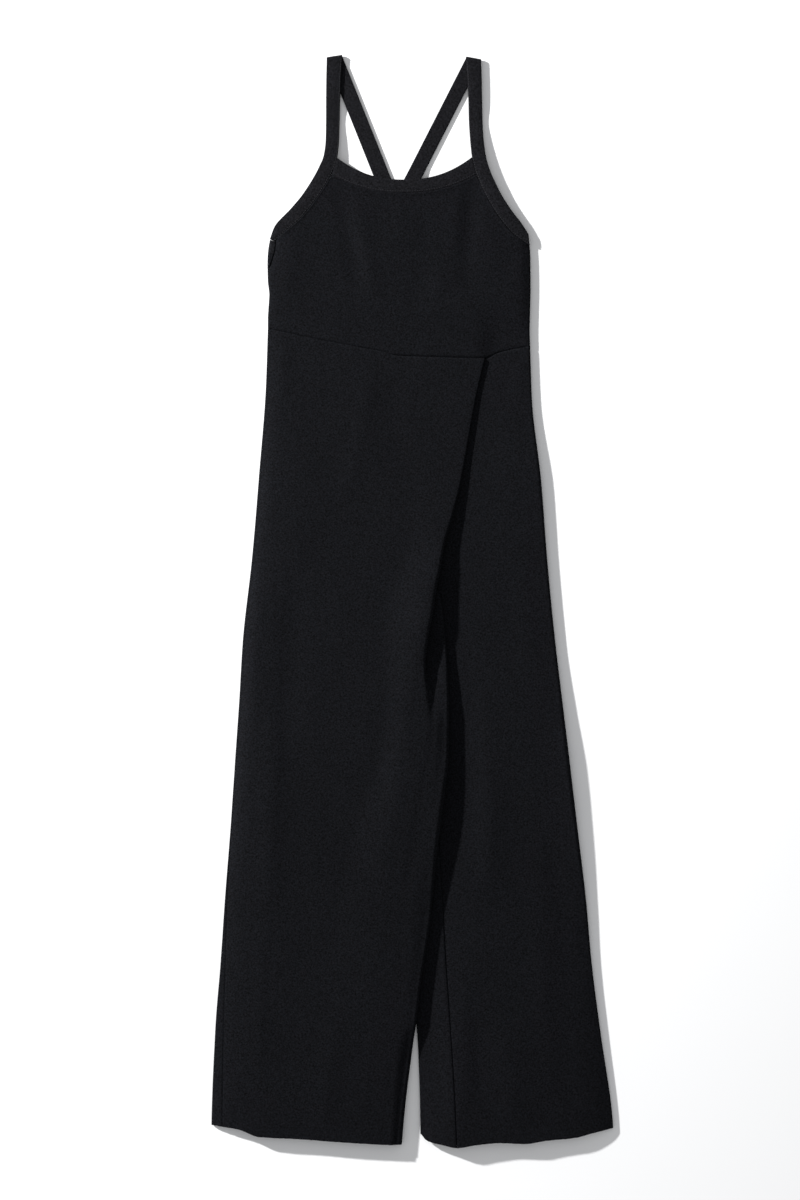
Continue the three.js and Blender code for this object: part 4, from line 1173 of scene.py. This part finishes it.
def strap_lengths(grid):
    """Lengths along and across a strap, measured on its middle."""
    middle = len(grid[0]) // 2
    length, measured = 0.0, []
    for before, row in zip([grid[0]] + grid, grid):
        length += (Vector(row[middle]) - Vector(before[middle])).length
        width = (Vector(row[-1]) - Vector(row[0])).length
        measured.append([(width * a, -length) for a in steps(STRAP_COLUMNS)])
    return measured


left_strap_grid = strap_grid(LEFT_BAND, left_band, LEFT_BACK_SLOPE, "under")
left_lengths = strap_lengths(left_strap_grid)
left_strap = cloth_piece("left_strap_cloth", left_strap_grid, left_lengths, BAND, BAND_EDGE)
right_strap_grid = strap_grid(RIGHT_BAND, right_band, RIGHT_BACK_SLOPE, "over")
right_lengths = strap_lengths(right_strap_grid)
right_strap = cloth_piece("right_strap_cloth", right_strap_grid, right_lengths, BAND, BAND_EDGE)

# %% [markdown]
# Knit is drawn by its loops. Down the cloth run narrow columns of them, the wales, and each
# loop leans to the middle of its column like one leg of a small V. The group below makes that
# relief from the UV map, which holds millimetres of cloth, and gives a height for the bump
# and a painted shade for the colour, darker in the hollows between the loops. It is built
# once and used by every cloth here, with its own loop size for each.

# %% Helpers for node trees
def feed(tree, socket, value):
    """Sets an input to a number or a colour, or links another node's output to it."""
    if isinstance(value, bpy.types.NodeSocket):
        tree.links.new(value, socket)
    else:
        socket.default_value = value


def math_node(tree, operation, *values):
    """Adds a Math node with numbers or links on its inputs."""
    node = tree.nodes.new("ShaderNodeMath")
    node.operation = operation
    for socket, value in zip(node.inputs, values):
        feed(tree, socket, value)
    return node.outputs[0]


def noise_node(tree, place, scale, detail=2):
    """Adds a Noise Texture on given coordinates."""
    node = tree.nodes.new("ShaderNodeTexNoise")
    feed(tree, node.inputs["Vector"], place)
    feed(tree, node.inputs["Scale"], scale)
    feed(tree, node.inputs["Detail"], detail)
    return node.outputs[0]


def colour_node(tree, first, second, share, blend="MIX"):
    """Adds a Mix node for colours."""
    node = tree.nodes.new("ShaderNodeMix")
    node.data_type = "RGBA"
    node.blend_type = blend
    for label, value in (("A", first), ("B", second), ("Factor", share)):
        feed(tree, node.inputs[label], value)
    return node.outputs["Result"]


def new_group(name, inputs, outputs):
    group = bpy.data.node_groups.new(name, "ShaderNodeTree")
    for label, value in inputs.items():
        kind = "NodeSocketVector" if value is None else "NodeSocketFloat"
        socket = group.interface.new_socket(label, in_out="INPUT", socket_type=kind)
        if value is not None:
            socket.default_value = value
    for label in outputs:
        group.interface.new_socket(label, in_out="OUTPUT", socket_type="NodeSocketFloat")
    return group, group.nodes.new("NodeGroupInput"), group.nodes.new("NodeGroupOutput")


print("paper surface has", len(paper_surface), "inputs")

# %% The knit as a node group
loops, loops_in, loops_out = new_group(
    "knit_loops", {"Cloth": None, "Wale": 0.001, "Course": 0.0008}, ["Height", "Shade"]
)
split = loops.nodes.new("ShaderNodeSeparateXYZ")
loops.links.new(loops_in.outputs["Cloth"], split.inputs[0])
wale = math_node(loops, "DIVIDE", split.outputs["X"], loops_in.outputs["Wale"])
course = math_node(loops, "DIVIDE", split.outputs["Y"], loops_in.outputs["Course"])
off_middle = math_node(loops, "SUBTRACT", math_node(loops, "FRACT", wale), 0.5)
lean = math_node(loops, "ABSOLUTE", off_middle)
leg_of_v = math_node(loops, "ADD", course, math_node(loops, "MULTIPLY", lean, 1.3))
loop = math_node(loops, "SINE", math_node(loops, "MULTIPLY", leg_of_v, 2 * math.pi))
lean_squared = math_node(loops, "MULTIPLY", lean, lean)
rib = math_node(loops, "SUBTRACT", 1, math_node(loops, "MULTIPLY", lean_squared, 3.2))
height = math_node(loops, "MULTIPLY", rib, math_node(loops, "MULTIPLY_ADD", loop, 0.25, 0.75))
loops.links.new(height, loops_out.inputs["Height"])
# Painted shade: the colour is darkened where the relief is low, in the hollows between the loops.
painted_shade = math_node(loops, "MULTIPLY_ADD", height, 0.4, 0.72)
loops.links.new(painted_shade, loops_out.inputs["Shade"])
print(loops.name, "with", len(loops.nodes), "nodes")

# %% [markdown]
# Even a clean black cloth is not one black. The dye takes a little unevenly, which is its own
# tone. The nap lies different ways and the loops of a double knit catch the light by turns;
# these are painted into the colour as slow patches of sheen and a fine grain of glints, which
# is painted light. A second group makes both from the object's own coordinates, so that they
# stay put on the cloth.

# %% The dye tone and painted sheen as a node group
tone_and_painted_sheen, tone_and_painted_sheen_in, tone_and_painted_sheen_out = new_group("dye_tone_and_painted_sheen", {"Place": None}, ["Nap", "Tone"])
turned = tone_and_painted_sheen.nodes.new("ShaderNodeMapping")
turned.inputs["Rotation"].default_value = (0.7, 0.5, 0.3)
tone_and_painted_sheen.links.new(tone_and_painted_sheen_in.outputs["Place"], turned.inputs["Vector"])
# Painted sheen and glints: slow patches and a fine grain lighten and darken the colour. Tone is the
# dye's own unevenness.
painted_sheen_patches = noise_node(tone_and_painted_sheen, turned.outputs[0], 18)
painted_glints = noise_node(tone_and_painted_sheen, turned.outputs[0], 480, 1)
tones = noise_node(tone_and_painted_sheen, turned.outputs[0], 330)
slow = math_node(tone_and_painted_sheen, "MULTIPLY_ADD", painted_sheen_patches, 0.2, 0.9)
fine = math_node(tone_and_painted_sheen, "MULTIPLY_ADD", painted_glints, 3.0, -0.5)
tone_and_painted_sheen.links.new(math_node(tone_and_painted_sheen, "MULTIPLY", slow, fine), tone_and_painted_sheen_out.inputs["Nap"])
tone_and_painted_sheen.links.new(math_node(tone_and_painted_sheen, "MULTIPLY_ADD", tones, 2.4, -0.7), tone_and_painted_sheen_out.inputs["Tone"])
print(tone_and_painted_sheen.name, "with", len(tone_and_painted_sheen.nodes), "nodes")

# %% Knit materials
def knit_material(name, cool, warm, wale_width, course_height, bump):
    """A knit whose dye wanders between two blacks, with loops of a given size in millimetres, and with
    painted shade and painted sheen multiplied into its colour.
    """
    material, surface = new_material(name, 0.9, 0.055)
    tree = material.node_tree
    cloth_map = tree.nodes.new("ShaderNodeUVMap")
    place = tree.nodes.new("ShaderNodeTexCoord")
    knit = tree.nodes.new("ShaderNodeGroup")
    knit.node_tree = loops
    knit.inputs["Wale"].default_value = wale_width * MM
    knit.inputs["Course"].default_value = course_height * MM
    tree.links.new(cloth_map.outputs[0], knit.inputs["Cloth"])
    tone_and_sheen_node = tree.nodes.new("ShaderNodeGroup")
    tone_and_sheen_node.node_tree = tone_and_painted_sheen
    tree.links.new(place.outputs["Object"], tone_and_sheen_node.inputs["Place"])
    black = colour_node(tree, (*cool, 1), (*warm, 1), tone_and_sheen_node.outputs["Tone"])
    # Painted light: the dye is multiplied by the loops' painted shade and by the painted sheen and
    # glints.
    painted_light_gain = math_node(tree, "MULTIPLY", knit.outputs["Shade"], tone_and_sheen_node.outputs["Nap"])
    dye_with_painted_light = colour_node(tree, black, painted_light_gain, 1, "MULTIPLY")
    tree.links.new(dye_with_painted_light, surface["Base Color"])
    relief = tree.nodes.new("ShaderNodeBump")
    relief.inputs["Strength"].default_value = bump
    relief.inputs["Distance"].default_value = 0.0003
    tree.links.new(knit.outputs["Height"], relief.inputs["Height"])
    tree.links.new(relief.outputs[0], surface["Normal"])
    print(name, "with", len(tree.nodes), "nodes")
    return material


body_knit = knit_material(
    "black_double_knit", (0.0045, 0.0051, 0.0066), (0.0051, 0.0050, 0.0061), 1.0, 0.85, 0.35
)
# Painted light: the bands are the same knit as the body, given a lighter black so that they come out
# brighter than the cloth beside them.
band_knit_painted_lighter = knit_material(
    "black_band_knit_painted_lighter", (0.0074, 0.0077, 0.0093), (0.0079, 0.0076, 0.0089), 1.1, 0.9, 0.4
)

# %% [markdown]
# The bands are held by a row of stitches a couple of millimetres in from their sewn edge. One
# stitch is modelled as a short rounded rod and repeated along the edge, half sunk in the cloth
# and each a little off line, as a machine leaves them on stretchy cloth.

# %% Model one stitch
STITCH_LENGTH = 2.6
STITCH_PITCH = 3.4
STITCH_WANDER = 0.12
STITCH_RISE = 0.02
THREAD = 0.6
bpy.ops.object.select_all(action="DESELECT")
bpy.ops.mesh.primitive_uv_sphere_add(segments=6, ring_count=4, radius=0.5)
one_stitch = bpy.context.object
stitch_points = [vertex.co.copy() for vertex in one_stitch.data.vertices]
stitch_faces = [list(face.vertices) for face in one_stitch.data.polygons]
bpy.ops.object.delete()
print("one stitch has", len(stitch_points), "points")

# %% Sew the bands
def sew(name, path):
    """Sets stitches end to end along a path of points, in millimetres."""
    points, faces = [], []
    spare = 0.0
    for a, b in zip(path, path[1:]):
        start, step = Vector(a), Vector(b) - Vector(a)
        length = step.length
        along = step.normalized()
        sideways = Vector((-along.y, along.x, 0)).normalized()
        upwards = along.cross(sideways)
        while spare < length:
            middle = start + along * spare + sideways * STITCH_WANDER * noise.noise(start * 0.9)
            first = len(points)
            for p in stitch_points:
                local = along * p.x * STITCH_LENGTH + sideways * p.y * THREAD + upwards * p.z * THREAD
                points.append((middle + local) * MM)
            faces += [[first + index for index in face] for face in stitch_faces]
            spare += STITCH_PITCH
        spare -= length
    mesh = bpy.data.meshes.new(name)
    mesh.from_pydata(points, [], faces)
    mesh.uv_layers.new(name="UVMap")
    thread_line = bpy.data.objects.new(name, mesh)
    bpy.context.scene.collection.objects.link(thread_line)
    select_only(thread_line)
    bpy.ops.object.shade_smooth()
    print(name, len(points) // len(stitch_points), "stitches")
    return thread_line


def on_band(grid, share, wall):
    """The line along a band at a share of its width, on top of its wall."""
    at = share * (len(grid[0]) - 1)
    left = int(at)
    line = []
    for row in grid:
        point = Vector(row[left]).lerp(Vector(row[min(left + 1, len(row) - 1)]), at - left)
        line.append(point + Vector((0, 0, wall / 2 + STITCH_RISE)))
    return line


FRONT_ROWS = (len(LEFT_BAND) - 1) * BAND_STEPS
SEWN_EDGE = 0.93
NECK_SEWN_ROW = 8
left_path = on_band(left_strap_grid[:FRONT_ROWS], SEWN_EDGE, BAND)
left_seam_line = sew("left_strap_stitches", left_path)
right_path = on_band(right_strap_grid[:FRONT_ROWS], SEWN_EDGE, BAND)
right_seam_line = sew("right_strap_stitches", right_path)
lift = Vector((0, 0, BAND / 2 + STITCH_RISE))
neck_path = [Vector(point) + lift for point in neck_grid[NECK_SEWN_ROW]]
neck_seam_line = sew("neck_band_stitches", neck_path)

# %% Give each piece its cloth
# Painted highlight: the thread gets a much lighter black than the cloth, with two tones mixed along it
# as painted glints, so the sewn edges show as a light line.
lit_thread, thread_surface = new_material("black_thread_painted_highlight", 0.55, 0.2)
thread_tree = lit_thread.node_tree
thread_place = thread_tree.nodes.new("ShaderNodeTexCoord")
thread_glints = noise_node(thread_tree, thread_place.outputs["Object"], 900)
dark, light = (0.014, 0.014, 0.016, 1), (0.024, 0.024, 0.027, 1)
thread_tree.links.new(colour_node(thread_tree, dark, light, thread_glints), thread_surface["Base Color"])

panels = {
    "front_bodice": front_bodice,
    "back_bodice": back_bodice,
    "left_leg_front": left_leg_front,
    "left_leg_back": left_leg_back,
    "right_leg_front": right_leg_front,
    "right_leg_back": right_leg_back,
}
bands = {
    "neck_band": neck_band,
    "back_band": back_band,
    "left_armhole_band_and_strap": left_strap,
    "right_armhole_band_and_strap": right_strap,
}
for pieces, cloth in ((panels, body_knit), (bands, band_knit_painted_lighter)):
    for piece in pieces.values():
        piece.data.materials.clear()
        piece.data.materials.append(cloth)
seam_lines = [left_seam_line, right_seam_line, neck_seam_line]
for line in seam_lines:
    line.data.materials.append(lit_thread)
print(len(panels), "panels and", len(bands), "bands")

# %% [markdown]
# Last, each piece is tied to the model: it rides on the one body and hides the solid that it
# stands for.

# %% Tie the cloth to the model
for node, piece in {**panels, **bands}.items():
    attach(piece, "root")
    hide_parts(node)
for line in seam_lines:
    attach(line, "root")
